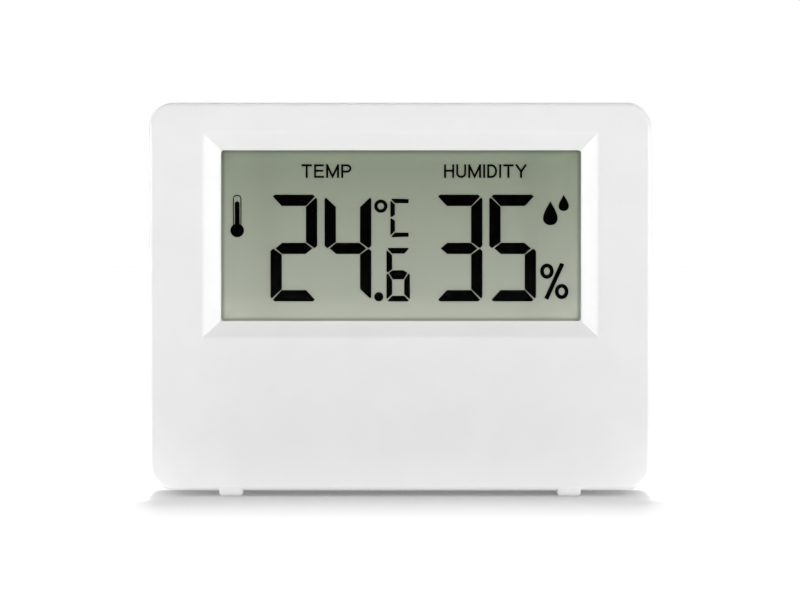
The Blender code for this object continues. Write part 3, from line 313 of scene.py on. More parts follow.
class Recipe:
    """A material under construction: its Principled shader and the nodes that feed it."""

    def __init__(self, name: str) -> None:
        """Start a material with a Principled shader and Object coordinates.

        Args:
            name: name of the material.
        """
        self.material = bpy.data.materials.new(name)
        self.material.use_nodes = True
        self.tree = self.material.node_tree
        self.shader = self.tree.nodes["Principled BSDF"]
        self.place = self.tree.nodes.new("ShaderNodeTexCoord").outputs["Object"]

    def add(self, kind: str, **inputs: object) -> bpy.types.Node:
        """Add a node and set or link its inputs.

        Args:
            kind: type of the node, without the word ShaderNode before it.
            inputs: a value or a socket for each input, named with _ for each space.

        Returns:
            The new node.
        """
        node = self.tree.nodes.new("ShaderNode" + kind)
        for key, value in inputs.items():
            socket = node.inputs[key.replace("_", " ")]
            if isinstance(value, bpy.types.NodeSocket):
                self.tree.links.new(value, socket)
            else:
                socket.default_value = value
        return node

    def feed(self, name: str, source: bpy.types.NodeSocket) -> None:
        """Link a socket to one of the shader's inputs."""
        self.tree.links.new(source, self.shader.inputs[name])

    def noise(self, size: float, detail: float = 2.0) -> bpy.types.NodeSocket:
        """Noise from 0 to 1 whose spots are about size metres wide."""
        return self.add("TexNoise", Vector=self.place, Scale=1 / size, Detail=detail).outputs["Fac"]

    def between(
        self,
        source: bpy.types.NodeSocket,
        low: float,
        high: float,
        start: float = NOISE_RANGE[0],
        end: float = NOISE_RANGE[1],
        soft: bool = False,
    ) -> bpy.types.NodeSocket:
        """Map a source onto another range.

        Args:
            source: socket that runs from start to end.
            low: result at start.
            high: result at end.
            start: lower end of the source; by default, of a noise.
            end: upper end of the source.
            soft: ease in and out rather than run evenly.

        Returns:
            The mapped source.
        """
        inputs = {"Value": source, "From_Min": start, "From_Max": end, "To_Min": low, "To_Max": high}
        node = self.add("MapRange", **inputs)
        if soft:
            node.interpolation_type = "SMOOTHSTEP"
        return node.outputs["Result"]

    def ramp(
        self, source: bpy.types.NodeSocket, stops: list[tuple[float, Colour]]
    ) -> bpy.types.NodeSocket:
        """Colour by a source from 0 to 1.

        Args:
            source: socket that picks the colour.
            stops: places from 0 to 1 and their colours.

        Returns:
            The colour.
        """
        node = self.add("ValToRGB", Fac=source)
        elements = node.color_ramp.elements
        while len(elements) < len(stops):
            elements.new(0.5)
        for element, (place, colour) in zip(elements, stops):
            element.position = place
            element.color = (*colour, 1.0)
        return node.outputs["Color"]

    def tint(self, size: float, low: Colour, high: Colour) -> None:
        """Colour the surface from low to high in soft spots about size metres wide."""
        stops = list(zip(NOISE_RANGE, (low, high)))
        self.feed("Base Color", self.ramp(self.noise(size), stops))

    def gloss(self, size: float, low: float, high: float) -> None:
        """Let the roughness wander from low to high in spots about size metres wide."""
        self.feed("Roughness", self.between(self.noise(size), low, high))

    def sum(self, operation: str, *values: bpy.types.NodeSocket | float) -> bpy.types.NodeSocket:
        """Do one sum on sources or numbers.

        Args:
            operation: name of the sum.
            values: a source or a number for each of its inputs.

        Returns:
            The result.
        """
        node = self.add("Math")
        node.operation = operation
        for socket, value in zip(node.inputs, values):
            if isinstance(value, float):
                socket.default_value = value
            else:
                self.tree.links.new(value, socket)
        return node.outputs["Value"]

    def axis(self, name: str, low: float, high: float) -> bpy.types.NodeSocket:
        """A source that runs from 0 to 1 between two places along X, Y or Z."""
        parts = self.add("SeparateXYZ", Vector=self.place)
        return self.between(parts.outputs[name], 0.0, 1.0, low, high)

    def bump(self, source: bpy.types.NodeSocket, height: float, strength: float = 0.5) -> None:
        """Raise the surface by a source from 0 to 1 times a height in metres."""
        node = self.add("Bump", Height=source, Distance=height, Strength=strength)
        self.feed("Normal", node.outputs["Normal"])


def shade(colour: Colour, factor: float) -> Colour:
    """A colour made darker or lighter by a factor."""
    return (colour[0] * factor, colour[1] * factor, colour[2] * factor)


@dataclass(frozen=True)
class MouldedPlastic:
    """Plastic from a fine spark-eroded mould: faint mottling, uneven gloss and a tight grain."""

    name: str
    colour: Colour
    roughness: float = 0.42
    mottle: float = 0.012
    grain_mm: float = 0.16
    grain_height_mm: float = 0.004
    mottle_mm: float = 6.0
    gloss_mm: float = 1.3
    gloss_swing: float = 0.05

    def build(self) -> bpy.types.Material:
        """Make the material.

        Returns:
            The finished material.
        """
        recipe = Recipe(self.name)
        low, high = shade(self.colour, 1 - self.mottle), shade(self.colour, 1 + self.mottle)
        recipe.tint(self.mottle_mm * MM, low, high)
        smooth, rough = self.roughness - self.gloss_swing, self.roughness + self.gloss_swing
        recipe.gloss(self.gloss_mm * MM, smooth, rough)
        recipe.bump(recipe.noise(self.grain_mm * MM, 3.0), self.grain_height_mm * MM)
        return recipe.material


@dataclass(frozen=True)
class DisplayFilm:
    """Reflective display background, painted darker at the top as the shade of how the light falls on
    it, with the fine frost of its polariser.

    Its outer margin is painted a little paler, painted light that makes up for the shade of the frame
    round it, and painted shade darkens its very edge, where the frame's lip shades it. Bottom, top,
    half width and middle are the window's, in metres.
    """

    name: str
    top_colour: Colour
    bottom_colour: Colour
    bottom: float
    top: float
    half: float
    middle: float
    # painted light at the margins and painted shade at the very edge, each a factor and a reach in
    # millimetres
    bottom_painted_light: tuple[float, float] = (1.31, 4.2)
    top_painted_light: tuple[float, float] = (1.12, 3.3)
    side_painted_light: tuple[float, float] = (1.16, 5.0)
    edge_painted_light: tuple[float, float] = (1.2, 1.8)
    painted_edge_shade: tuple[float, float] = (0.6, 0.5)
    frost: float = 0.015
    frost_mm: float = 0.12
    roughness: tuple[float, float] = (0.5, 0.6)
    gloss_mm: float = 0.4

    def build(self) -> bpy.types.Material:
        """Make the material; each painted light, and the painted edge shade, is a factor at the edge
        and its reach in millimetres.

        Returns:
            The finished material.
        """
        recipe = Recipe(self.name)
        # painted shade: darker towards the top, where less light falls on the display
        rise = recipe.axis("Z", self.bottom, self.top)
        background = recipe.ramp(rise, [(0.0, self.bottom_colour), (1.0, self.top_colour)])
        parts = recipe.add("SeparateXYZ", Vector=recipe.place)
        from_bottom = recipe.sum("SUBTRACT", parts.outputs["Z"], self.bottom)
        from_top = recipe.sum("SUBTRACT", self.top, parts.outputs["Z"])
        aside = recipe.sum("ABSOLUTE", recipe.sum("SUBTRACT", parts.outputs["X"], self.middle))
        from_side = recipe.sum("SUBTRACT", self.half, aside)
        nearest = recipe.sum("MINIMUM", from_side, recipe.sum("MINIMUM", from_bottom, from_top))
        frost = recipe.noise(self.frost_mm * MM)
        factors = [recipe.between(frost, 1 - self.frost, 1 + self.frost)]
        # painted light: paler margins that make up for the shade of the frame round the window
        for distance, (factor, reach) in (
            (from_bottom, self.bottom_painted_light),
            (from_top, self.top_painted_light),
            (from_side, self.side_painted_light),
            (nearest, self.edge_painted_light),
        ):
            factors.append(recipe.between(distance, factor, 1.0, 0.0, reach * MM, soft=True))
        # painted shade along the very edge, where the frame's lip shades the film
        factors.append(recipe.between(nearest, self.painted_edge_shade[0], 1.0, 0.0, self.painted_edge_shade[1] * MM))
        for factor in factors:
            scaled = recipe.add("VectorMath", Vector=background)
            scaled.operation = "SCALE"
            recipe.tree.links.new(factor, scaled.inputs["Scale"])
            background = scaled.outputs["Vector"]
        recipe.feed("Base Color", background)
        recipe.gloss(self.gloss_mm * MM, *self.roughness)
        recipe.shader.inputs["Specular IOR Level"].default_value = 0.1
        return recipe.material


@dataclass(frozen=True)
class ClearPane:
    """Clear plastic or glass that lets light straight through and whose outside mirrors at a slant."""

    name: str
    index: float = 1.12
    haze: float = 0.03
    haze_mm: float = 2.0

    def build(self) -> bpy.types.Material:
        """Make the material: a see-through shader under a gloss that grows with the slant.

        Returns:
            The finished material.
        """
        recipe = Recipe(self.name)
        clear = recipe.add("BsdfTransparent")
        speckle = recipe.between(recipe.noise(self.haze_mm * MM), self.haze, self.haze * 2)
        gloss = recipe.add("BsdfGlossy", Roughness=speckle)
        slant = recipe.add("Fresnel", IOR=self.index)
        side = recipe.add("NewGeometry")
        front = recipe.between(side.outputs["Backfacing"], 1.0, 0.0, 0.0, 1.0)
        share = recipe.add("MapRange", Value=slant.outputs["Fac"], To_Max=front)
        mix = recipe.add("MixShader", Fac=share.outputs["Result"])
        recipe.tree.links.new(clear.outputs["BSDF"], mix.inputs[1])
        recipe.tree.links.new(gloss.outputs["BSDF"], mix.inputs[2])
        output = recipe.tree.nodes["Material Output"]
        recipe.tree.links.new(mix.outputs["Shader"], output.inputs["Surface"])
        recipe.tree.nodes.remove(recipe.shader)
        return recipe.material


@dataclass(frozen=True)
class SegmentInk:
    """Switched-on display segment: nearly black, with a trace of unevenness and no shine."""

    name: str
    colour: Colour = (0.0012, 0.0013, 0.0011)
    mottle: float = 0.4
    mottle_mm: float = 0.5
    roughness: tuple[float, float] = (0.85, 0.95)
    gloss_mm: float = 0.3

    def build(self) -> bpy.types.Material:
        """Make the material.

        Returns:
            The finished material.
        """
        recipe = Recipe(self.name)
        low, high = shade(self.colour, 1 - self.mottle), shade(self.colour, 1 + self.mottle)
        recipe.tint(self.mottle_mm * MM, low, high)
        recipe.gloss(self.gloss_mm * MM, *self.roughness)
        recipe.shader.inputs["Specular IOR Level"].default_value = 0.0
        return recipe.material


@dataclass(frozen=True)
class DrawnMetal:
    """Plated or drawn metal: fine lines along one axis, with cloudy gloss."""

    name: str
    colour: Colour
    roughness: float = 0.28
    line_axis: int = 0
    line_mm: float = 0.08
    line_squeeze: float = 0.05
    line_height_mm: float = 0.002
    gloss_swing: tuple[float, float] = (-0.08, 0.1)
    cloud: tuple[float, float] = (0.9, 1.05)
    cloud_mm: float = 0.8

    def build(self) -> bpy.types.Material:
        """Make the material.

        Returns:
            The finished material.
        """
        recipe = Recipe(self.name)
        stretch = [1.0, 1.0, 1.0]
        stretch[self.line_axis] = self.line_squeeze
        turned = recipe.add("Mapping", Vector=recipe.place, Scale=stretch).outputs["Vector"]
        scale = 1 / (self.line_mm * MM)
        lines = recipe.add("TexNoise", Vector=turned, Scale=scale, Detail=2.0).outputs["Fac"]
        recipe.tint(self.cloud_mm * MM, *(shade(self.colour, factor) for factor in self.cloud))
        smooth, rough = (self.roughness + swing for swing in self.gloss_swing)
        recipe.feed("Roughness", recipe.between(lines, smooth, rough))
        recipe.bump(lines, self.line_height_mm * MM, 0.3)
        recipe.shader.inputs["Metallic"].default_value = 1.0
        return recipe.material


@dataclass(frozen=True)
class BoardLaminate:
    """Green circuit board: paler straight tracks under the resist, over a faint glass weave."""

    name: str
    resist: Colour = (0.010, 0.085, 0.030)
    track: Colour = (0.030, 0.170, 0.070)
    pitch_mm: float = 1.3
    track_share: float = 0.12
    resist_swing: float = 0.9
    roughness: tuple[float, float] = (0.3, 0.42)
    gloss_mm: float = 0.5
    weave_mm: float = 0.3
    weave_height_mm: float = 0.004

    def build(self) -> bpy.types.Material:
        """Make the material.

        Returns:
            The finished material.
        """
        recipe = Recipe(self.name)
        turned = recipe.add("Mapping", Vector=recipe.place, Rotation=(math.pi / 2, 0, 0))
        cells = recipe.add(
            "TexBrick",
            Vector=turned.outputs["Vector"],
            Color1=(*self.resist, 1.0),
            Color2=(*shade(self.resist, self.resist_swing), 1.0),
            Mortar=(*self.track, 1.0),
            Scale=1 / (self.pitch_mm * MM),
            Mortar_Size=self.track_share,
        )
        recipe.feed("Base Color", cells.outputs["Color"])
        recipe.gloss(self.gloss_mm * MM, *self.roughness)
        recipe.bump(recipe.noise(self.weave_mm * MM), self.weave_height_mm * MM, 0.3)
        return recipe.material


@dataclass(frozen=True)
class CellWrap:
    """Printed sleeve of a battery cell: plain bands of colour along its length."""

    name: str
    start: float
    end: float
    bare: Colour = (0.55, 0.55, 0.54)
    body: Colour = (0.020, 0.040, 0.075)
    band: Colour = (0.42, 0.24, 0.10)
    starts: tuple[float, ...] = (0.0, 0.012, 0.72, 0.955)
    roughness: tuple[float, float] = (0.24, 0.34)
    gloss_mm: float = 1.5
    dent_mm: float = 0.5
    dent_height_mm: float = 0.003

    def build(self) -> bpy.types.Material:
        """Make the material; starts are the shares of the length where the bands begin.

        Returns:
            The finished material.
        """
        recipe = Recipe(self.name)
        along = recipe.axis("X", self.start, self.end)
        stops = list(zip(self.starts, (self.bare, self.body, self.band, self.bare)))
        ramp = recipe.ramp(along, stops)
        ramp.node.color_ramp.interpolation = "CONSTANT"
        recipe.feed("Base Color", ramp)
        recipe.gloss(self.gloss_mm * MM, *self.roughness)
        recipe.shader.inputs["Metallic"].default_value = 0.6
        recipe.bump(recipe.noise(self.dent_mm * MM), self.dent_height_mm * MM, 0.2)
        return recipe.material


WHITE = MouldedPlastic("white_case_plastic", (0.80, 0.80, 0.80))


def dress(piece: bpy.types.Object, material: bpy.types.Material) -> bpy.types.Object:
    """Give a piece one material in place of those it has.

    Args:
        piece: piece to dress.
        material: its new material.

    Returns:
        The piece.
    """
    piece.data.materials.clear()
    piece.data.materials.append(material)
    return piece


def dress_nodes(plan: dict[bpy.types.Material, tuple[str, ...]]) -> list[bpy.types.Object]:
    """Dress CAD nodes that keep their solids.

    Args:
        plan: the names of the nodes that take each material.

    Returns:
        The dressed nodes.
    """
    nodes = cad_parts
    return [dress(nodes[name], material) for material, names in plan.items() for name in names]


def place_piece(piece: bpy.types.Object, body: Body) -> bpy.types.Object:
    """Let a finished piece ride on its body.

    Args:
        piece: the finished piece.
        body: body that carries it.

    Returns:
        The piece.
    """
    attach(piece, body.value)
    return piece


# Case


@dataclass
class FrontCover:
    """Front shell with its sloping display frame, one profile carried round the case, and two feet."""

    name: ClassVar[str] = "front_cover_shell"
    corner_mm: float = 3.1
    least_corner_mm: float = 0.1
    front_edge_mm: float = 0.6
    rim_edge_mm: float = 0.15
    depth_mm: float = 7.0
    lap_depth_mm: float = 1.2
    lap_inset_mm: float = 0.8
    wall_mm: float = 1.8
    window_half_mm: float = 23.37
    window_bottom_mm: float = 22.7
    window_top_mm: float = 44.86
    window_corner_mm: float = 0.35
    window_shift_mm: float = 0.13
    mouth_shift_mm: float = 0.07
    mouth_rise_mm: float = 0.17
    lip_flat_mm: float = 0.14
    lip_edge_mm: tuple[float, float] = (0.03, 0.05)
    mitre_corner_mm: float = 0.04
    slope_width_mm: float = 2.25
    slope_depth_mm: float = 1.5
    mouth_edge_mm: float = 0.85
    lip_mm: float = 0.8
    pocket_margin_mm: float = 1.6
    ledge_mm: float = 2.2
    well_wall_mm: float = 1.0
    well_back_mm: float = 5.9
    foot_centre_mm: float = 21.93
    foot_width_mm: float = 3.0
    foot_height_mm: float = 0.8
    foot_corner_mm: float = 0.4
    foot_front_mm: float = 0.1
    foot_back_mm: float = 6.7
    foot_end_mm: float = 0.15

    def case_ring(self, inset: float, depth: float) -> np.ndarray:
        """Outline of the case at a depth.

        Args:
            inset: how far it is drawn in all round, in millimetres.
            depth: depth behind the front face, in millimetres.

        Returns:
            Its points in metres.
        """
        low, high = millimetres(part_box("front_cover"))
        radius = max(self.corner_mm - inset, self.least_corner_mm)
        bottom = low[2] + self.foot_height_mm + inset
        outline = rounded_rectangle(high[0] - inset, bottom, high[2] - inset, radius)
        return at_depth(outline * MM, depth * MM)

    def window_ring(self, grow: float, depth: float, radius: float, drop: float = 0.0) -> np.ndarray:
        """Outline of the window at a depth.

        The window lies a little to the right of the case's middle, and the frame's mouth less so. The
        slope below is narrower than the others.

        Args:
            grow: how far it is let out all round, in millimetres.
            depth: depth behind the front face, in millimetres.
            radius: radius of its corners, in millimetres.
            drop: how much further it is let out below, in millimetres.

        Returns:
            Its points in metres.
        """
        share = min(grow / self.slope_width_mm, 1.0)
        bottom = self.window_bottom_mm - grow - drop + self.mouth_rise_mm * share
        top = self.window_top_mm + grow
        outline = rounded_rectangle(self.window_half_mm + grow, bottom, top, radius)
        outline[:, 0] += self.window_shift_mm * (1 - share) + self.mouth_shift_mm * share
        return at_depth(outline * MM, depth * MM)

    def frame_rings(self) -> list[np.ndarray]:
        """Window wall, slope and the arc that rounds the slope into the face.

        The arc is tangent to both: its middle lies one radius behind the face, and the angle runs
        from the slope's tilt to zero.

        Returns:
            Outlines from the window's lip to the face, each as points in metres.
        """
        tilt = math.atan2(self.slope_depth_mm, self.slope_width_mm - self.lip_flat_mm)
        reach = self.mouth_edge_mm * math.tan(tilt / 2)
        middle = self.slope_width_mm + reach
        mitre, corner, back = self.mitre_corner_mm, self.window_corner_mm, self.slope_depth_mm
        break_out, break_down = self.lip_edge_mm
        rings = [
            self.window_ring(0, back + self.lip_mm, corner),
            self.window_ring(0, back + break_down, corner),
            self.window_ring(break_out, back, corner),
        ]
        run = np.linspace(self.lip_flat_mm, self.slope_width_mm - reach * math.cos(tilt), 8)
        fall = np.tan(tilt) * (self.slope_width_mm - run)
        rings += [self.window_ring(out, depth, mitre) for out, depth in zip(run, fall)]
        for angle in np.linspace(tilt, 0, 9):
            out = middle - self.mouth_edge_mm * math.sin(angle)
            depth = self.mouth_edge_mm * (1 - math.cos(angle))
            rings.append(self.window_ring(out, depth, mitre))
        return rings

    def outer_rings(self) -> list[np.ndarray]:
        """Rounded front edge, side wall, rim, lap step and inner wall of the case.

        Both edges are quarter circles: the front one is drawn in by its radius times 1 - sin and lies
        its radius times 1 - cos deep.

        Returns:
            Outlines from the face to the inside of the front wall, each as points in metres.
        """
        edge, rim = self.front_edge_mm, self.rim_edge_mm
        rings = []
        for angle in np.linspace(0, math.pi / 2, 12):
            rings.append(self.case_ring(edge * (1 - math.sin(angle)), edge * (1 - math.cos(angle))))
        for depth in np.linspace(edge, self.depth_mm - rim, 6)[1:]:
            rings.append(self.case_ring(0, depth))
        for angle in np.linspace(0, math.pi / 2, 5)[1:]:
            inset = rim * (1 - math.cos(angle))
            rings.append(self.case_ring(inset, self.depth_mm - rim + rim * math.sin(angle)))
        step = self.depth_mm - self.lap_depth_mm
        rings.append(self.case_ring(self.lap_inset_mm, self.depth_mm))
        rings.append(self.case_ring(self.lap_inset_mm, step))
        rings.append(self.case_ring(self.wall_mm, step))
        rings.append(self.case_ring(self.wall_mm, self.wall_mm))
        return rings

    def well_rings(self) -> list[np.ndarray]:
        """Outside and inside of the well that holds the display, back to the window's lip.

        Returns:
            Outlines in order, each as points in metres.
        """
        pocket, ledge, corner = self.pocket_margin_mm, self.ledge_mm, self.window_corner_mm
        outside = pocket + self.well_wall_mm
        lip_back = self.slope_depth_mm + self.lip_mm
        return [
            self.window_ring(outside, self.wall_mm, corner, ledge),
            self.window_ring(outside, self.well_back_mm, corner, ledge),
            self.window_ring(pocket, self.well_back_mm, corner, ledge),
            self.window_ring(pocket, lip_back, corner, ledge),
        ]

    def foot(self, side: int) -> Patch:
        """One foot: a round-cornered section carried along the depth, drawn in to a point at both ends.

        Args:
            side: -1 for the left foot and 1 for the right one.

        Returns:
            The closed surface in metres.
        """
        half = self.foot_width_mm / 2
        section = rounded_rectangle(half, 0.0, 2 * self.foot_height_mm, self.foot_corner_mm, 6, 4)
        angle = np.linspace(0, math.pi / 2, 6)
        draw = self.foot_end_mm * (1 - np.sin(angle))
        lead = self.foot_end_mm * (1 - np.cos(angle))
        depths = np.concatenate([self.foot_front_mm + lead, self.foot_back_mm - lead[::-1]])
        shrink = np.concatenate([draw, draw[::-1]])
        middle = np.array([0.0, self.foot_height_mm])
        factor = 1 - shrink[:, None, None] / np.array([half, self.foot_height_mm])
        outlines = middle + (section - middle) * factor
        point = np.broadcast_to(middle, outlines[:1].shape)
        outlines = np.concatenate([point, outlines, point])
        outlines = outlines + np.array([side * self.foot_centre_mm, 0.0])
        depths = np.concatenate([depths[:1], depths, depths[-1:]])
        rings = [at_depth(line * MM, depth * MM) for line, depth in zip(outlines, depths)]
        return grid_patch(np.stack(rings))

    def build(self) -> list[bpy.types.Object]:
        """Loft the closed shell, add the feet and dress them.

        Returns:
            The dressed cover alone.
        """
        rings = np.stack(self.frame_rings() + self.outer_rings() + self.well_rings())
        shell = grid_patch(rings, wrap_rows=True)
        cover = mesh_piece(self.name, [shell, self.foot(-1), self.foot(1)])
        dress(cover, WHITE.build())
        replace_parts(cover, "front_cover")
        return [place_piece(cover, Body.HOUSING)]


@dataclass
class RearCase:
    """Rear cover, battery door and stand, from the CAD solids with their sharp edges broken."""

    cover_edge_mm: float = 0.12
    door_edge_mm: float = 0.10
    stand_edge_mm: float = 0.25

    def build(self) -> list[bpy.types.Object]:
        """Make the three pieces in the case's plastic.

        Returns:
            The dressed pieces.
        """
        plan = [
            ("rear_cover", "rear_cover_shell", self.cover_edge_mm, Body.HOUSING),
            ("battery_door", "battery_door_panel", self.door_edge_mm, Body.DOOR),
            ("stand", "stand_frame", self.stand_edge_mm, Body.STAND),
        ]
        pieces = []
        for node, name, edge, body in plan:
            piece = dress(smooth_copy(node, name, edge * MM), WHITE.build())
            pieces.append(place_piece(piece, body))
        return pieces


@dataclass
class Screws:
    """Four pan head screws: a crowned head with a cross recess over a threaded shank."""

    crown_mm: float = 0.45
    edge_mm: float = 0.25
    head_mm: float = 1.3
    arm_width_mm: float = 0.5
    arm_length_mm: float = 1.05
    recess_mm: float = 0.75
    shank_mm: float = 0.88
    ridge_mm: float = 0.10
    pitch_mm: float = 0.9
    tip_mm: float = 1.4
    side_fade: float = 0.5
    end_fade: float = 0.25
    edge_start: float = 0.8
    sharp_degrees: float = 40.0

    def head(self, radius: float) -> np.ndarray:
        """Top of the head over a polar grid.

        Height is the crown, 1 - (r / radius) squared, less a recess that is deep where a point lies
        within half an arm's width of either axis and fades out with a smooth step.

        Args:
            radius: radius of the head, in millimetres.

        Returns:
            Grid of points in millimetres, from the middle outwards.
        """
        inner, outer = np.linspace(0, self.edge_start, 33), np.linspace(self.edge_start, 1.0, 8)[1:]
        reach = np.concatenate([inner, outer])[:, None] * radius
        turn = np.linspace(0, 2 * math.pi, 96, endpoint=False)[None]
        across, up = reach * np.cos(turn), reach * np.sin(turn)
        crown = self.crown_mm * (1 - (reach / radius) ** 2)
        corner = np.clip((reach - radius + self.edge_mm) / self.edge_mm, 0, 1)
        crown = crown - self.edge_mm * (1 - np.sqrt(1 - corner**2))
        thin = np.minimum(np.abs(across), np.abs(up)) / (self.arm_width_mm / 2)
        long = np.maximum(np.abs(across), np.abs(up)) / self.arm_length_mm
        depth = np.clip((1 - thin) / self.side_fade + 0.5, 0, 1)
        depth = depth * np.clip((1 - long) / self.end_fade, 0, 1)
        height = crown - self.recess_mm * depth * depth * (3 - 2 * depth)
        return np.stack([across, height + self.head_mm - self.crown_mm, up], axis=-1)

    def shank(self, length: float) -> np.ndarray:
        """Threaded shank over a grid of length and turn.

        The ridge rises where length / pitch less turn is near a whole number, and the radius tapers
        to the tip.

        Args:
            length: length of the shank, in millimetres.

        Returns:
            Grid of points in millimetres, from the head to the tip.
        """
        along = np.linspace(0, length, 90)[:, None]
        turn = np.linspace(0, 2 * math.pi, 24, endpoint=False)[None]
        wave = np.cos(2 * math.pi * along / self.pitch_mm - turn)
        taper = np.clip((length - along) / self.tip_mm, 0, 1)
        radius = (self.shank_mm + self.ridge_mm * np.clip(wave, 0, 1) ** 3) * taper
        depth = np.broadcast_to(-along, radius.shape)
        return np.stack([radius * np.cos(turn), depth, radius * np.sin(turn)], axis=-1)

    def build(self) -> list[bpy.types.Object]:
        """Make the screws at the CAD screws' places.

        Returns:
            The dressed screws.
        """
        pieces = []
        steel = DrawnMetal("plated_screw_steel", (0.58, 0.58, 0.59), 0.26).build()
        for number in range(1, 5):
            node = f"case_screw_{number}"
            low, high = millimetres(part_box(node))
            radius, seat = (high[0] - low[0]) / 2, high[1] - self.head_mm
            centre = np.array([(low[0] + high[0]) / 2, seat, (low[2] + high[2]) / 2])
            head = self.head(radius)
            under = head[-1:] * np.array([1.0, 0.0, 1.0])
            grid = np.concatenate([head, under, under * (self.shank_mm / radius)])
            patches = [grid_patch((grid + centre) * MM)]
            patches.append(grid_patch((self.shank(seat - low[1]) + centre) * MM))
            screw = dress(mesh_piece(f"screw_{number}", patches, self.sharp_degrees), steel)
            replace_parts(screw, node)
            pieces.append(place_piece(screw, Body.HOUSING))
        return pieces


@dataclass
class Buttons:
    """Two round push buttons with dished tops, turned from one profile."""

    dish_mm: float = 0.35
    edge_mm: float = 0.35
    flange_mm: float = 0.8
    cap_radius_mm: float = 2.4
    stem_radius_mm: float = 1.75
    rear_wall_mm: float = 1.8
    flange_gap_mm: float = 0.3

    def profile(self, length: float, flange_radius: float, flange_top: float) -> np.ndarray:
        """Stem, flange, cap, round edge and a dish that follows a cosine.

        Args:
            length: length of the button, in millimetres.
            flange_radius: radius of its flange, in millimetres.
            flange_top: distance from its foot to the flange's outer side, in millimetres.

        Returns:
            Rows of radius and distance from the foot, in millimetres.
        """
        cap, stem, edge = self.cap_radius_mm, self.stem_radius_mm, self.edge_mm
        rim = rounded_end(cap, length, edge, 8)
        reach = np.linspace(cap - edge, 0, 16)[1:]
        sunk = self.dish_mm * (1 + np.cos(math.pi * reach / (cap - edge))) / 2
        dish = np.stack([reach, length - sunk], axis=-1)
        foot = np.array([
            [0.0, 0.0],
            [stem, 0.0],
            [stem, flange_top - self.flange_mm],
            [flange_radius, flange_top - self.flange_mm],
            [flange_radius, flange_top],
            [cap, flange_top],
        ])
        return np.concatenate([foot, rim, dish])

    def build(self) -> list[bpy.types.Object]:
        """Make both buttons at the CAD buttons' places.

        Returns:
            The dressed buttons.
        """
        pieces = []
        grey = MouldedPlastic("grey_button_plastic", (0.50, 0.51, 0.52), 0.5, 0.02).build()
        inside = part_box("rear_cover")[1].y / MM - self.rear_wall_mm - self.flange_gap_mm
        for node, body in (("unit_button", Body.UNIT_BUTTON), ("memory_button", Body.MEMORY_BUTTON)):
            low, high = millimetres(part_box(node))
            centre = np.array([(low[0] + high[0]) / 2, low[1], (low[2] + high[2]) / 2])
            profile = self.profile(high[1] - low[1], (high[0] - low[0]) / 2, inside - low[1])
            patch = revolve(profile * MM, centre * MM, np.array([0.0, 1.0, 0.0]))
            button = dress(mesh_piece(f"{node}_cap", [patch]), grey)
            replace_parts(button, node)
            pieces.append(place_piece(button, body))
        return pieces


# Battery


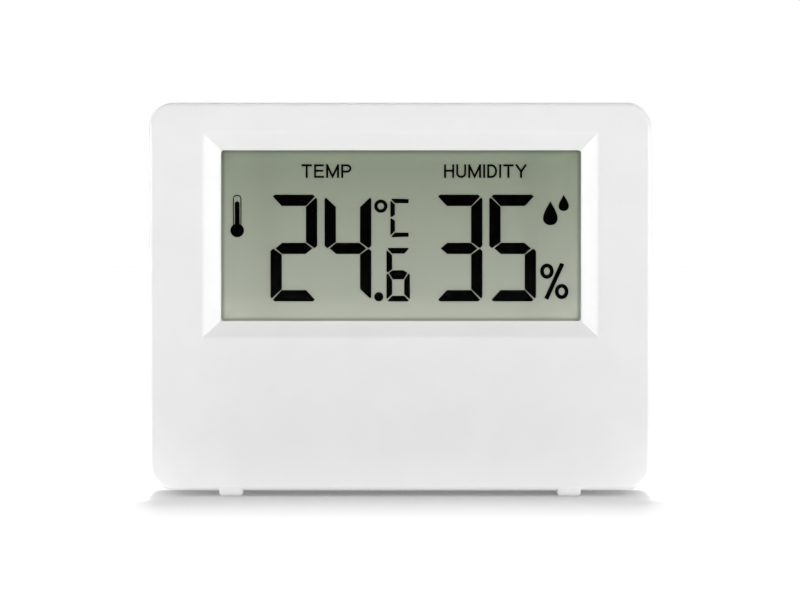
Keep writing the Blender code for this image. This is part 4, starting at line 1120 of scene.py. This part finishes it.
@dataclass
class Battery:
    """The cell with its rolled ends and sleeve, and the cone spring that presses on it."""

    nub_radius_mm: float = 1.9
    nub_mm: float = 1.0
    nub_edge_mm: float = 0.25
    nub_foot_mm: float = 0.1
    groove_mm: float = 0.25
    groove_sides_mm: tuple[float, float, float] = (0.9, 0.7, 0.1)
    edge_mm: float = 0.6
    wire_mm: float = 0.25
    wide_mm: float = 3.6
    narrow_mm: float = 2.2
    turns: float = 3.0
    sharp_degrees: float = 50.0

    def profile(self, length: float, radius: float) -> np.ndarray:
        """Flat end, rolled edge, sleeve, rolled shoulder with a groove, and nub.

        The rolled edges are quarter circles: middle + edge * (cos, sin).

        Args:
            length: length of the cell with its nub, in millimetres.
            radius: radius of the cell, in millimetres.

        Returns:
            Rows of radius and distance from the flat end, in millimetres.
        """
        edge, nub, shoulder = self.edge_mm, self.nub_radius_mm, length - self.nub_mm
        turn = np.linspace(0, math.pi / 2, 7)
        start = np.stack([radius - edge + edge * np.sin(turn), edge - edge * np.cos(turn)], axis=-1)
        end = rounded_end(radius, shoulder, edge, 7)
        brink, outside, inside = (nub + side for side in self.groove_sides_mm)
        depth = shoulder - self.groove_mm
        groove = [[brink, shoulder], [outside, depth], [inside, depth]]
        foot = [[nub, shoulder - self.nub_foot_mm]]
        cap = rounded_end(nub, length, self.nub_edge_mm, 7)
        return np.concatenate([[[0.0, 0.0]], start, end, groove, foot, cap, [[0.0, length]]])

    def cell(self) -> bpy.types.Object:
        """Turn the cell about its long axis.

        Returns:
            The dressed cell.
        """
        low, high = millimetres(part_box("battery_cell"))
        centre = np.array([low[0], (low[1] + high[1]) / 2, (low[2] + high[2]) / 2])
        profile = self.profile(high[0] - low[0], (high[2] - low[2]) / 2)
        patch = revolve(profile * MM, centre * MM, np.array([1.0, 0.0, 0.0]), 64)
        cell = mesh_piece("battery_cell_sleeve", [patch])
        dress(cell, CellWrap("banded_cell_sleeve", low[0] * MM, high[0] * MM).build())
        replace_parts(cell, "battery_cell")
        return place_piece(cell, Body.HOUSING)

    def spring(self) -> bpy.types.Object:
        """Wind the spring: a helix about the cell's axis whose radius falls evenly to the cell.

        Returns:
            The dressed spring.
        """
        low, high = millimetres(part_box("battery_spring"))
        middle = np.mean(millimetres(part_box("battery_cell")), axis=0)
        share = np.linspace(0, 1, 150)
        angle = 2 * math.pi * self.turns * share
        radius = self.wide_mm + (self.narrow_mm - self.wide_mm) * share
        spoke = np.stack([np.zeros_like(angle), np.cos(angle), np.sin(angle)], axis=-1)
        first, last = low[0] + self.wire_mm, high[0] - self.wire_mm
        path = radius[:, None] * spoke + np.array([0.0, middle[1], middle[2]])
        path[:, 0] = first + (last - first) * share
        wire = tube(path * MM, spoke, self.wire_mm * MM)
        spring = mesh_piece("battery_spring_wire", [wire], self.sharp_degrees)
        dress(spring, DrawnMetal("nickel_spring_wire", (0.66, 0.65, 0.62), 0.22).build())
        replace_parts(spring, "battery_spring")
        return place_piece(spring, Body.HOUSING)

    def build(self) -> list[bpy.types.Object]:
        """Make the cell and its spring."""
        return [self.cell(), self.spring()]


# Display


class Bar(Enum):
    """The seven bars of a digit, clockwise from the top, with the middle one last."""

    TOP = "top"
    UPPER_RIGHT = "upper_right"
    LOWER_RIGHT = "lower_right"
    BOTTOM = "bottom"
    LOWER_LEFT = "lower_left"
    UPPER_LEFT = "upper_left"
    MIDDLE = "middle"


DIGIT_BARS = {
    "2": (Bar.TOP, Bar.UPPER_RIGHT, Bar.MIDDLE, Bar.LOWER_LEFT, Bar.BOTTOM),
    "3": (Bar.TOP, Bar.UPPER_RIGHT, Bar.MIDDLE, Bar.LOWER_RIGHT, Bar.BOTTOM),
    "4": (Bar.UPPER_LEFT, Bar.MIDDLE, Bar.UPPER_RIGHT, Bar.LOWER_RIGHT),
    "5": (Bar.TOP, Bar.UPPER_LEFT, Bar.MIDDLE, Bar.LOWER_RIGHT, Bar.BOTTOM),
    "6": (Bar.TOP, Bar.UPPER_LEFT, Bar.MIDDLE, Bar.LOWER_LEFT, Bar.LOWER_RIGHT, Bar.BOTTOM),
    "C": (Bar.TOP, Bar.UPPER_LEFT, Bar.LOWER_LEFT, Bar.BOTTOM),
}


# Corners of the bars' ends, counted inwards from the digit's edge as shares of a bar's width
TOP_TIP = ((0.99, 1.0), (0.22, 0.17), (0.25, 0.10), (0.40, 0.0))
SQUARE_TIP = ((0.15, 1.0), (0.0, 0.85), (0.0, 0.1))
SIDE_TIP = ((0.14, 0.19), (0.05, 0.21), (0.0, 0.34))
WAIST_TIP = ((0.0, 0.21), (0.06, 0.15), (0.21, 0.0), (0.28, 0.02))
MIDDLE_TIP = 0.44

# A slit between two bars, along the side that it crosses at a slant
CORNER_SLANT = 1.41
WAIST_SLANT = 0.47


@dataclass(frozen=True)
class DigitStyle:
    """Proportions of a seven-bar digit, in millimetres; the waist is counted from its top.

    The middle bar reaches above and below the waist, and a slit parts neighbouring bars.
    """

    width: float
    height: float
    bar: float
    waist: float
    above: float
    below: float
    slit: float
    square_right: bool = False

    def top(self) -> list[tuple[float, float]]:
        """Corners of the top bar: long outside, with blunt tips and mitred ends.

        Returns:
            Corners as pairs of x and distance from the top.
        """
        left = [(x * self.bar, z * self.bar) for x, z in TOP_TIP]
        tip = SQUARE_TIP if self.square_right else TOP_TIP
        right = [(self.width - x * self.bar, z * self.bar) for x, z in tip]
        return left + right[::-1]

    def side(self, waist: float, reach: float) -> list[tuple[float, float]]:
        """Corners of a right hand bar between the top and the waist.

        Args:
            waist: distance from the top to the waist.
            reach: how far the middle bar reaches from the waist towards the top.

        Returns:
            Corners as pairs of x and distance from the top.
        """
        wide, bar, slit = self.width, self.bar, self.slit
        start, inner = CORNER_SLANT * slit, wide - bar
        corners = [(wide - x * bar, z * bar + start) for x, z in SIDE_TIP]
        corners += [(wide - x * bar, waist - z * bar - WAIST_SLANT * slit) for x, z in WAIST_TIP]
        return corners + [(inner, waist - reach - slit), (inner, bar + start)]

    def middle(self) -> list[tuple[float, float]]:
        """Corners of the middle bar, pointed at the waist on both sides.

        Returns:
            Corners as pairs of x and distance from the top.
        """
        wide, end = self.width, self.bar + 0.5 * self.slit
        upper, lower = self.waist - self.above, self.waist + self.below
        point = wide - MIDDLE_TIP * self.bar
        right = [(wide - end, upper), (point, self.waist), (wide - end, lower)]
        return right + [(wide - x, z) for x, z in right[::-1]]

    def shape(self, bar: Bar) -> np.ndarray:
        """Corners of one bar.

        Args:
            bar: which of the seven bars.

        Returns:
            Rows of x to the right and z up, from the digit's lower left corner.
        """
        wide, tall = self.width, self.height
        upper, lower = self.side(self.waist, self.above), self.side(tall - self.waist, self.below)
        corners, mirrored, flipped = {
            Bar.TOP: (self.top(), False, False),
            Bar.BOTTOM: (self.top(), False, True),
            Bar.UPPER_RIGHT: (upper, False, False),
            Bar.UPPER_LEFT: (upper, True, False),
            Bar.LOWER_RIGHT: (lower, False, True),
            Bar.LOWER_LEFT: (lower, True, True),
            Bar.MIDDLE: (self.middle(), False, False),
        }[bar]
        points = np.array(corners)
        if mirrored:
            points[:, 0] = wide - points[:, 0]
        if not flipped:
            points[:, 1] = tall - points[:, 1]
        return points


LARGE = DigitStyle(6.085, 13.90, 1.47, 7.0, 0.73, 0.73, 0.094)
SMALL = DigitStyle(3.05, 6.98, 0.74, 3.26, 0.34, 0.83, 0.15)
UNIT = DigitStyle(2.38, 5.02, 0.59, 2.49, 0.26, 0.26, 0.14, square_right=True)

STROKES = {
    "T": [[(0.0, 1.0), (0.72, 1.0)], [(0.36, 1.0), (0.36, 0.0)]],
    "E": [[(0.66, 1.0), (0.0, 1.0), (0.0, 0.0), (0.68, 0.0)], [(0.0, 0.53), (0.62, 0.53)]],
    "M": [
        [(0.0, 0.0), (0.0, 1.0)],
        [(0.02, 0.96), (0.47, 0.03), (0.92, 0.96)],
        [(0.94, 1.0), (0.94, 0.0)],
    ],
    "H": [[(0.0, 1.0), (0.0, 0.0)], [(0.70, 1.0), (0.70, 0.0)], [(0.0, 0.53), (0.70, 0.53)]],
    "I": [[(0.0, 1.0), (0.0, 0.0)]],
    "Y": [[(0.0, 1.0), (0.38, 0.46), (0.76, 1.0)], [(0.38, 0.46), (0.38, 0.0)]],
}
LETTER_WIDTHS = {
    "T": 0.72,
    "E": 0.68,
    "M": 0.94,
    "H": 0.70,
    "I": 0.0,
    "Y": 0.76,
    "P": 0.70,
    "U": 0.68,
    "D": 0.68,
}

# What the display shows, in pixels of the photograph: lower left corners of the digits, then left,
# right and bottom of the words, and left, right, top and bottom of the drops
DIGITS = (
    ("2", LARGE, 270.5, 301.4),
    ("4", LARGE, 324.6, 301.4),
    ("3", LARGE, 435.7, 301.4),
    ("5", LARGE, 489.3, 301.4),
    ("6", SMALL, 386.5, 301.5),
    ("C", UNIT, 390.4, 237.2),
)
WORDS = (("TEMP", 301.6, 351.3, 177.9), ("HUMIDITY", 444.1, 526.4, 177.9))
DROPS = ((543.1, 557.6, 200.9, 225.2), (558.6, 568.8, 194.6, 211.0))


def letter_strokes(letter: str) -> list[np.ndarray]:
    """Middle lines of a plain capital in a box one unit tall; round parts are half ellipses.

    Args:
        letter: the capital.

    Returns:
        Its lines, each as rows of x and z.
    """
    turn = np.linspace(math.pi / 2, -math.pi / 2, 13)
    if letter == "P":
        bowl = np.stack([0.42 + 0.28 * np.cos(turn), 0.73 + 0.27 * np.sin(turn)], axis=-1)
        return [np.array([(0.0, 0.0), (0.0, 1.0), *bowl, (0.0, 0.46)])]
    if letter == "D":
        bowl = np.stack([0.28 + 0.40 * np.cos(turn), 0.5 + 0.5 * np.sin(turn)], axis=-1)
        return [np.array([*bowl, (0.0, 0.0), (0.0, 1.0), bowl[0]])]
    if letter == "U":
        cup = np.stack([0.34 - 0.34 * np.sin(turn), 0.30 - 0.30 * np.cos(turn)], axis=-1)
        return [np.array([(0.0, 1.0), *cup, (0.68, 1.0)])]
    return [np.array(line, dtype=float) for line in STROKES[letter]]


def ribbon(line: np.ndarray, width: float) -> Patch:
    """Give a line width: points half a width to both sides, along the mean of its two normals.

    Args:
        line: rows of x and z along the middle of the stroke.
        width: width of the stroke.

    Returns:
        A flat patch at y = 0 with square ends and mitred corners.
    """
    steps = np.diff(line, axis=0)
    steps = steps / np.linalg.norm(steps, axis=1, keepdims=True)
    before = np.vstack([steps[:1], steps])
    after = np.vstack([steps, steps[-1:]])
    mean = before + after
    mean = mean / np.linalg.norm(mean, axis=1, keepdims=True)
    stretch = 1 / np.clip((mean * after).sum(axis=1, keepdims=True), 0.45, 1)
    normal = np.stack([-mean[:, 1], mean[:, 0]], axis=-1) * stretch * width / 2
    ends = np.zeros_like(line)
    ends[0], ends[-1] = -steps[0] * width / 2, steps[-1] * width / 2
    return flat_strip(line + ends + normal, line + ends - normal, closed=False)


def flat_strip(one: np.ndarray, other: np.ndarray, closed: bool = True) -> Patch:
    """Cover the space between two flat lines with quads, at y = 0.

    Args:
        one: rows of x and z.
        other: as many rows of x and z.
        closed: join the last points to the first.

    Returns:
        The flat patch.
    """
    flat = np.stack([one, other])
    grid = np.stack([flat[..., 0], np.zeros(flat.shape[:2]), flat[..., 1]], axis=-1)
    return grid_patch(grid, wrap_columns=closed)


def oval(centre: np.ndarray, across: float, up: float, steps: int = 40) -> np.ndarray:
    """Points round an ellipse: centre + (across * cos, up * sin)."""
    turn = np.linspace(0, 2 * math.pi, steps, endpoint=False)
    return np.stack([centre[0] + across * np.cos(turn), centre[1] + up * np.sin(turn)], axis=-1)


def filled(outline: np.ndarray) -> Patch:
    """A flat closed outline filled by quads that run to its middle."""
    middle = np.broadcast_to(outline.mean(axis=0), outline.shape)
    return flat_strip(outline, middle)


@dataclass
class Display:
    """The liquid crystal display: lens, films, glasses and the black signs that are switched on."""

    # painted shade: the background is darker at the top because of how the light falls on it
    top_colour: Colour = (0.240, 0.273, 0.203)
    bottom_colour: Colour = (0.431, 0.462, 0.386)
    lettering_mm: float = 1.76
    stroke_mm: float = 0.255
    slash_mm: float = 0.56
    drop_power: float = 1.5
    ink_mm: float = 0.02
    ink_gap_mm: float = 0.03
    pixel_mm: float = 0.1303
    photo_middle: tuple[float, float] = (400.0, 300.0)
    middle_height_mm: float = 25.40

    def spot(self, x: float | np.ndarray, y: float | np.ndarray) -> np.ndarray:
        """Find where a point of the photograph lies on the display.

        Args:
            x: place across the photograph, in pixels, or an array of them.
            y: place down the photograph, in pixels, or an array of them.

        Returns:
            The point as x and z in millimetres, or a row for each point.
        """
        across = (x - self.photo_middle[0]) * self.pixel_mm
        up = self.middle_height_mm - (y - self.photo_middle[1]) * self.pixel_mm
        return np.stack([across, up], axis=-1)

    def disc(self, x: float, y: float, radius: float) -> Patch:
        """A filled circle about a point of the photograph, with its radius in pixels."""
        return filled(oval(self.spot(x, y), radius * self.pixel_mm, radius * self.pixel_mm))

    def digit(self, sign: str, style: DigitStyle, left: float, bottom: float) -> list[Patch]:
        """Bars of one digit whose lower left corner is a point of the photograph."""
        return [filled(self.spot(left, bottom) + style.shape(bar)) for bar in DIGIT_BARS[sign]]

    def word(self, letters: str, left: float, right: float, bottom: float) -> list[Patch]:
        """A word in plain capitals, spread evenly.

        Args:
            letters: the word.
            left: where it starts in the photograph, in pixels.
            right: where it ends.
            bottom: its lower edge.

        Returns:
            A patch for each stroke.
        """
        height = self.lettering_mm - self.stroke_mm
        widths = np.array([LETTER_WIDTHS[letter] for letter in letters]) * height
        room = (right - left) * self.pixel_mm - self.stroke_mm - widths.sum()
        gap = room / (len(letters) - 1)
        starts = np.concatenate([[0], np.cumsum(widths + gap)[:-1]]) + self.stroke_mm / 2
        corner = self.spot(left, bottom) + np.array([0.0, self.stroke_mm / 2])
        patches = []
        for letter, start in zip(letters, starts):
            origin = corner + np.array([start, 0.0])
            for line in letter_strokes(letter):
                patches.append(ribbon(origin + line * height, self.stroke_mm))
        return patches

    def ring(self, x: float, y: float, outer: tuple[float, float], width: float) -> Patch:
        """A ring about a point of the photograph.

        Args:
            x: the point, in pixels.
            y: the point, in pixels.
            outer: its radii across and up, in pixels.
            width: width of its line, in pixels.

        Returns:
            The patch between two ellipses.
        """
        middle, pixel = self.spot(x, y), self.pixel_mm
        lines = [oval(middle, (outer[0] - i) * pixel, (outer[1] - i) * pixel) for i in (0.0, width)]
        return flat_strip(*lines)

    def drop(self, left: float, right: float, top: float, bottom: float) -> Patch:
        """A drop: half width times sin(t) * sin(t / 2) to a power, from its point to its round foot.

        Args:
            left: its sides in the photograph, in pixels.
            right: see left.
            top: its point.
            bottom: its foot.

        Returns:
            The filled outline.
        """
        turn = np.linspace(0, 2 * math.pi, 48, endpoint=False)
        across = np.sin(turn) * np.abs(np.sin(turn / 2)) ** self.drop_power
        across = across / np.abs(across).max() * (right - left) / 2
        y = (top + bottom) / 2 - np.cos(turn) * (bottom - top) / 2
        return filled(self.spot((left + right) / 2 + across, y))

    def arch(self, x: float, top: float, bottom: float, radius: float) -> np.ndarray:
        """A line up, round a half circle and down again.

        Args:
            x: its middle in the photograph, in pixels.
            top: its highest point.
            bottom: where both legs end.
            radius: half its width.

        Returns:
            Rows of x and z in millimetres.
        """
        turn = np.linspace(math.pi, 0, 13)
        across = np.concatenate([[-radius], radius * np.cos(turn), [radius]])
        down = np.concatenate([[bottom], top + radius - radius * np.sin(turn), [bottom]])
        return self.spot(x + across, down)

    def thermometer_sign(self) -> list[Patch]:
        """Small sign of a glass thermometer: thin round-topped outline, column and bulb.

        Returns:
            A patch for each of them.
        """
        x, top, column_top, bulb = 237.2, 194.8, 201.5, 230.5
        outside, line, column, ball = 4.2, 0.9, 2.4, 6.8
        outer = self.arch(x, top, bulb, outside)
        inner = self.arch(x, top + line, bulb, outside - line)
        stem = filled(self.arch(x, column_top, bulb, column))
        return [flat_strip(outer, inner, closed=False), stem, self.disc(x, bulb, ball)]

    def percent_sign(self) -> list[Patch]:
        """Two rings and a slanting bar.

        Returns:
            A patch for each of them.
        """
        rings = [self.ring(x, y, (6.8, 7.6), 3.8) for x, y in ((546.9, 271.2), (561.7, 291.5))]
        slash = np.stack([self.spot(561.4, 265.5), self.spot(547.1, 297.1)])
        return rings + [ribbon(slash, self.slash_mm)]

    def signs(self) -> bpy.types.Object:
        """All the switched-on signs as one thin piece just in front of the front film.

        Returns:
            The dressed signs.
        """
        patches = [patch for digit in DIGITS for patch in self.digit(*digit)]
        patches += [patch for word in WORDS for patch in self.word(*word)]
        patches += self.thermometer_sign() + self.percent_sign()
        patches += [self.drop(*edges) for edges in DROPS]
        degree_ring, point = self.ring(380.8, 206.2, (6.6, 6.6), 3.3), self.disc(378.8, 296.8, 4.6)
        patches += [degree_ring, point]
        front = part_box("front_polariser")[0].y - (self.ink_gap_mm + self.ink_mm) * MM
        shift = np.array([0.0, front, 0.0])
        ink = mesh_piece("display_signs", [Patch(p.points * MM + shift, p.quads) for p in patches])
        solid = ink.modifiers.new("film_thickness", "SOLIDIFY")
        solid.thickness = self.ink_mm * MM
        solid.offset = 0.0
        dress(ink, SegmentInk("switched_on_segment").build())
        return place_piece(ink, Body.HOUSING)

    def build(self) -> list[bpy.types.Object]:
        """Dress the CAD layers and make the signs.

        Returns:
            The dressed layers and the signs.
        """
        cover = FrontCover()
        film = DisplayFilm(
            "display_background",
            self.top_colour,
            self.bottom_colour,
            cover.window_bottom_mm * MM,
            cover.window_top_mm * MM,
            cover.window_half_mm * MM,
            cover.window_shift_mm * MM,
        ).build()
        pane = ClearPane("clear_lens").build()
        plan = {
            film: ("front_polariser", "rear_reflector"),
            pane: ("display_lens", "front_glass", "rear_glass"),
        }
        return dress_nodes(plan) + [self.signs()]


# Inside


@dataclass
class Electronics:
    """Finishes of the pieces behind the display, which keep their CAD solids."""

    def build(self) -> list[bpy.types.Object]:
        """Dress the board and everything on it.

        Returns:
            The dressed nodes.
        """
        black = MouldedPlastic("black_foam", (0.02, 0.02, 0.021), 0.85, 0.2, 0.25, 0.02).build()
        resin = MouldedPlastic("black_resin", (0.014, 0.014, 0.015), 0.25, 0.1, 0.5, 0.002).build()
        rubber = MouldedPlastic("pink_strip_rubber", (0.55, 0.30, 0.30), 0.7, 0.05, 0.2, 0.01).build()
        pale = MouldedPlastic("sensor_plastic", (0.78, 0.78, 0.74), 0.5, 0.02).build()
        dark = MouldedPlastic("switch_plastic", (0.07, 0.07, 0.08), 0.5, 0.05).build()
        brown = MouldedPlastic("plunger_plastic", (0.24, 0.10, 0.08), 0.45, 0.05).build()
        tan = MouldedPlastic("capacitor_ceramic", (0.45, 0.32, 0.20), 0.4, 0.05).build()
        can = DrawnMetal("crystal_can", (0.62, 0.62, 0.63), 0.24).build()
        nickel = DrawnMetal("nickel_contact", (0.66, 0.65, 0.62), 0.26, 2).build()
        board = BoardLaminate("board_laminate").build()
        plan = {
            black: ("lens_tape", "foam_strip"),
            resin: ("chip_cover", "temperature_sensor", "resistor_1", "resistor_2"),
            rubber: ("connector_strip",),
            pale: ("humidity_sensor",),
            dark: ("unit_switch", "memory_switch"),
            brown: ("unit_plunger", "memory_plunger"),
            tan: ("capacitor_1", "capacitor_2"),
            can: ("clock_crystal",),
            nickel: ("positive_contact", "negative_contact"),
            board: ("circuit_board",),
        }
        return dress_nodes(plan)


# Studio


@dataclass(frozen=True)
class AreaLamp:
    """A soft rectangular lamp that the camera doesn't see, with its power in watts.

    Its light fans out over spread degrees, and glossy surfaces may mirror it.
    """

    name: str
    power: float
    size: tuple[float, float]
    spread: float = 180.0
    mirrored: bool = False

    def place(
        self,
        spot: Vector,
        back: Vector,
        receivers: bpy.types.Collection,
        blockers: bpy.types.Collection | None = None,
    ) -> None:
        """Add such a lamp to the scene.

        Args:
            spot: where its middle is.
            back: direction that it turns its back to.
            receivers: collection that says what it lights.
            blockers: collection that says what casts a shadow.
        """
        data = bpy.data.lights.new(self.name, "AREA")
        data.shape = "RECTANGLE"
        data.energy = self.power
        data.size, data.size_y = self.size
        data.spread = math.radians(self.spread)
        lamp = bpy.data.objects.new(self.name, data)
        lamp.location = spot
        lamp.rotation_euler = back.to_track_quat("Z", "Y").to_euler()
        lamp.visible_camera = False
        lamp.visible_glossy = self.mirrored
        lamp.light_linking.receiver_collection = receivers
        lamp.light_linking.blocker_collection = blockers
        bpy.context.scene.collection.objects.link(lamp)


@dataclass(frozen=True)
class Beam:
    """A narrow lamp that grazes the face from one side."""

    side: tuple[float, float, float]
    power: float
    size: tuple[float, float]
    spread: ClassVar[float] = 3.0

    def lamp(self) -> AreaLamp:
        """The lamp itself."""
        return AreaLamp("beam", self.power, self.size, self.spread, mirrored=True)


@dataclass
class Studio:
    """White floor under a pale sky, and a long lens a touch above the middle of the case.

    The part is lit by beams that graze its face from three sides, by two soft fills and by a strip that
    stands for the floor at its foot. The floor is lit by a far strip above and behind, which lays the
    shade in front of the case, and by low strips that let that shade fade out under it.
    """

    camera_distance: float = 0.6
    frame_width: float = 0.1036
    camera_height: float = 0.0325
    aim_height: float = 0.02544
    sensor_mm: float = 36.0
    horizon: float = 0.62
    zenith: float = 0.42
    dark_from: float = -0.96
    dark_at: float = -0.995
    floor_size: float = 12.0
    floor_tones: tuple[float, float] = (0.54, 0.56)
    floor_mottle: float = 0.05
    floor_glow: float = 0.105
    beams: tuple[Beam, ...] = (
        Beam((-1.0, 0.0, 0.0), 0.00187, (0.016, 0.1)),
        Beam((1.0, 0.0, 0.0), 0.00209, (0.016, 0.1)),
        Beam((0.0, 0.0, 1.0), 0.00042, (0.1, 0.016)),
    )
    beam_distance: float = 0.089
    beam_tilt: float = 10.0
    beam_lead: float = 0.0057
    fill: AreaLamp = AreaLamp("fill", 0.58, (0.45, 0.45))
    fill_spots: tuple[tuple[float, float], ...] = ((-0.55, 0.12), (0.45, 0.36))
    floor_strip: AreaLamp = AreaLamp("floor_strip", 0.000763, (0.09, 0.0045))
    floor_strip_gap: float = 0.00255
    floor_strip_height: float = 0.0001
    low_strip: AreaLamp = AreaLamp("low_strip", 0.25, (0.36, 0.06), spread=30.0)
    low_strip_distance: float = 0.3
    end_strip: AreaLamp = AreaLamp("end_strip", 0.00065, (0.024, 0.0015), spread=90.0)
    end_strip_gap: float = 0.003
    end_strip_depth: float = 0.002
    sky_strip: AreaLamp = AreaLamp("sky_strip", 25900.0, (5.6, 44.6), mirrored=True)
    sky_strip_distance: float = 40.0
    sky_strip_tilt: float = 29.0

    def camera(self) -> None:
        """A camera before the face, a touch above its middle, whose frame spans frame_width there."""
        data = bpy.data.cameras.new("camera")
        data.sensor_width = self.sensor_mm
        data.lens = self.sensor_mm * self.camera_distance / self.frame_width
        made = bpy.data.objects.new("camera", data)
        made.location = (0.0, CAD_BOX[0].y - self.camera_distance, self.camera_height)
        pitch = math.atan2(self.camera_height - self.aim_height, self.camera_distance)
        made.rotation_euler = (math.pi / 2 - pitch, 0.0, 0.0)
        data.clip_start, data.clip_end = 0.01, 100.0
        bpy.context.scene.collection.objects.link(made)
        bpy.context.scene.camera = made

    def world(self) -> None:
        """A white dome that dims towards the zenith, and to nothing where the flat lens mirrors it."""
        world = bpy.data.worlds.new("studio")
        world.use_nodes = True
        tree = world.node_tree
        dome = tree.nodes["Background"]
        white = tree.nodes.new("ShaderNodeBackground")
        white.inputs["Strength"].default_value = 1.0
        for background in (dome, white):
            background.inputs["Color"].default_value = (1.0, 1.0, 1.0, 1.0)
        way = tree.nodes.new("ShaderNodeTexCoord")
        parts = tree.nodes.new("ShaderNodeSeparateXYZ")
        tree.links.new(way.outputs["Generated"], parts.inputs["Vector"])
        limits = {
            "Y": (self.dark_at, self.dark_from, 0.0, 1.0),
            "Z": (0.0, 1.0, self.horizon, self.zenith),
        }
        fades = []
        for axis, values in limits.items():
            fade = tree.nodes.new("ShaderNodeMapRange")
            for name, value in zip(("From Min", "From Max", "To Min", "To Max"), values):
                fade.inputs[name].default_value = value
            tree.links.new(parts.outputs[axis], fade.inputs["Value"])
            fades.append(fade.outputs["Result"])
        strength = tree.nodes.new("ShaderNodeMath")
        strength.operation = "MULTIPLY"
        for fade, socket in zip(fades, strength.inputs):
            tree.links.new(fade, socket)
        tree.links.new(strength.outputs["Value"], dome.inputs["Strength"])
        path = tree.nodes.new("ShaderNodeLightPath")
        mix = tree.nodes.new("ShaderNodeMixShader")
        tree.links.new(path.outputs["Is Camera Ray"], mix.inputs["Fac"])
        tree.links.new(dome.outputs["Background"], mix.inputs[1])
        tree.links.new(white.outputs["Background"], mix.inputs[2])
        tree.links.new(mix.outputs["Shader"], tree.nodes["World Output"].inputs["Surface"])
        bpy.context.scene.world = world

    def floor(self) -> bpy.types.Object:
        """A wide floor of paper with a faint unevenness, which the lamps make white.

        Returns:
            The floor.
        """
        half = self.floor_size / 2
        line = np.linspace(-half, half, 9)
        across, along = np.meshgrid(line, line)
        grid = np.stack([across, along, np.zeros_like(across)], axis=-1)
        made = mesh_piece("studio_floor", [grid_patch(grid, wrap_columns=False)])
        recipe = Recipe("floor_paper")
        recipe.tint(self.floor_mottle, *((tone, tone, tone) for tone in self.floor_tones))
        recipe.shader.inputs["Roughness"].default_value = 0.8
        recipe.shader.inputs["Specular IOR Level"].default_value = 0.1
        recipe.shader.inputs["Emission Color"].default_value = (1.0, 1.0, 1.0, 1.0)
        recipe.shader.inputs["Emission Strength"].default_value = self.floor_glow
        dress(made, recipe.material)
        return made

    @staticmethod
    def all_but(name: str, spared: bpy.types.Object) -> bpy.types.Collection:
        """Make a collection for light linking that stands for everything except one object.

        Args:
            name: name of the collection.
            spared: the object that is left out.

        Returns:
            The collection.
        """
        made = bpy.data.collections.new(name)
        made.objects.link(spared)
        made.collection_objects[0].light_linking.link_state = "EXCLUDE"
        return made

    def light_part(self, receivers: bpy.types.Collection) -> None:
        """Place the beams, the fills and the strip at the foot of the face.

        Args:
            receivers: collection that stands for everything except the floor.
        """
        not_cover = self.all_but("not_cover", bpy.data.objects[FrontCover.name])
        middle = Vector((0.0, CAD_BOX[0].y - self.beam_lead, self.aim_height))
        tilt = math.radians(self.beam_tilt)
        for beam in self.beams:
            side = Vector(beam.side)
            back = side * math.cos(tilt) + Vector((0.0, -math.sin(tilt), 0.0))
            edge = abs((CAD_BOX[1] - middle).dot(side))
            spot = middle + side * edge + back * self.beam_distance
            beam.lamp().place(spot, back, receivers, not_cover)
        for depth, height in self.fill_spots:
            spot = Vector((0.0, depth, height))
            self.fill.place(spot, spot - Vector((0.0, 0.0, self.aim_height)), receivers)
        spot = Vector((0.0, CAD_BOX[0].y - self.floor_strip_gap, self.floor_strip_height))
        self.floor_strip.place(spot, Vector((0.0, 0.0, -1.0)), receivers)

    def light_floor(self, receivers: bpy.types.Collection) -> None:
        """Place the low strips before and beside the case, and the far one.

        Args:
            receivers: collection that holds the floor alone.
        """
        front = CAD_BOX[0].y
        spot = Vector((0.0, front - self.low_strip_distance, self.low_strip.size[1] / 2))
        self.low_strip.place(spot, Vector((0.0, -1.0, 0.0)), receivers)
        for side in (-1.0, 1.0):
            across = side * (CAD_BOX[1].x + self.end_strip_gap)
            spot = Vector((across, front + self.end_strip_depth, self.end_strip.size[1] / 2))
            self.end_strip.place(spot, Vector((side, 0.0, 0.0)), receivers)
        tilt = math.radians(self.sky_strip_tilt)
        back = Vector((0.0, math.sin(tilt), math.cos(tilt)))
        self.sky_strip.place(back * self.sky_strip_distance, back, receivers)

    def build(self) -> None:
        """Set up the whole studio."""
        self.camera()
        self.world()
        floor = self.floor()
        floor_only = bpy.data.collections.new("floor_only")
        floor_only.objects.link(floor)
        self.light_part(self.all_but("not_floor", floor))
        self.light_floor(floor_only)
        bpy.context.scene.view_settings.view_transform = "Standard"


def main() -> None:
    """Build every sub-assembly, report its pieces, and set up the studio."""
    logging.basicConfig(level=logging.INFO, format="%(message)s")
    parts = (FrontCover(), RearCase(), Screws(), Buttons(), Battery(), Display(), Electronics())
    for part in parts:
        for piece in part.build():
            LOG.info("%s: %s in %s", type(part).__name__, piece.name, piece.active_material.name)
    Studio().build()


if __name__ == "__main__":
    main()
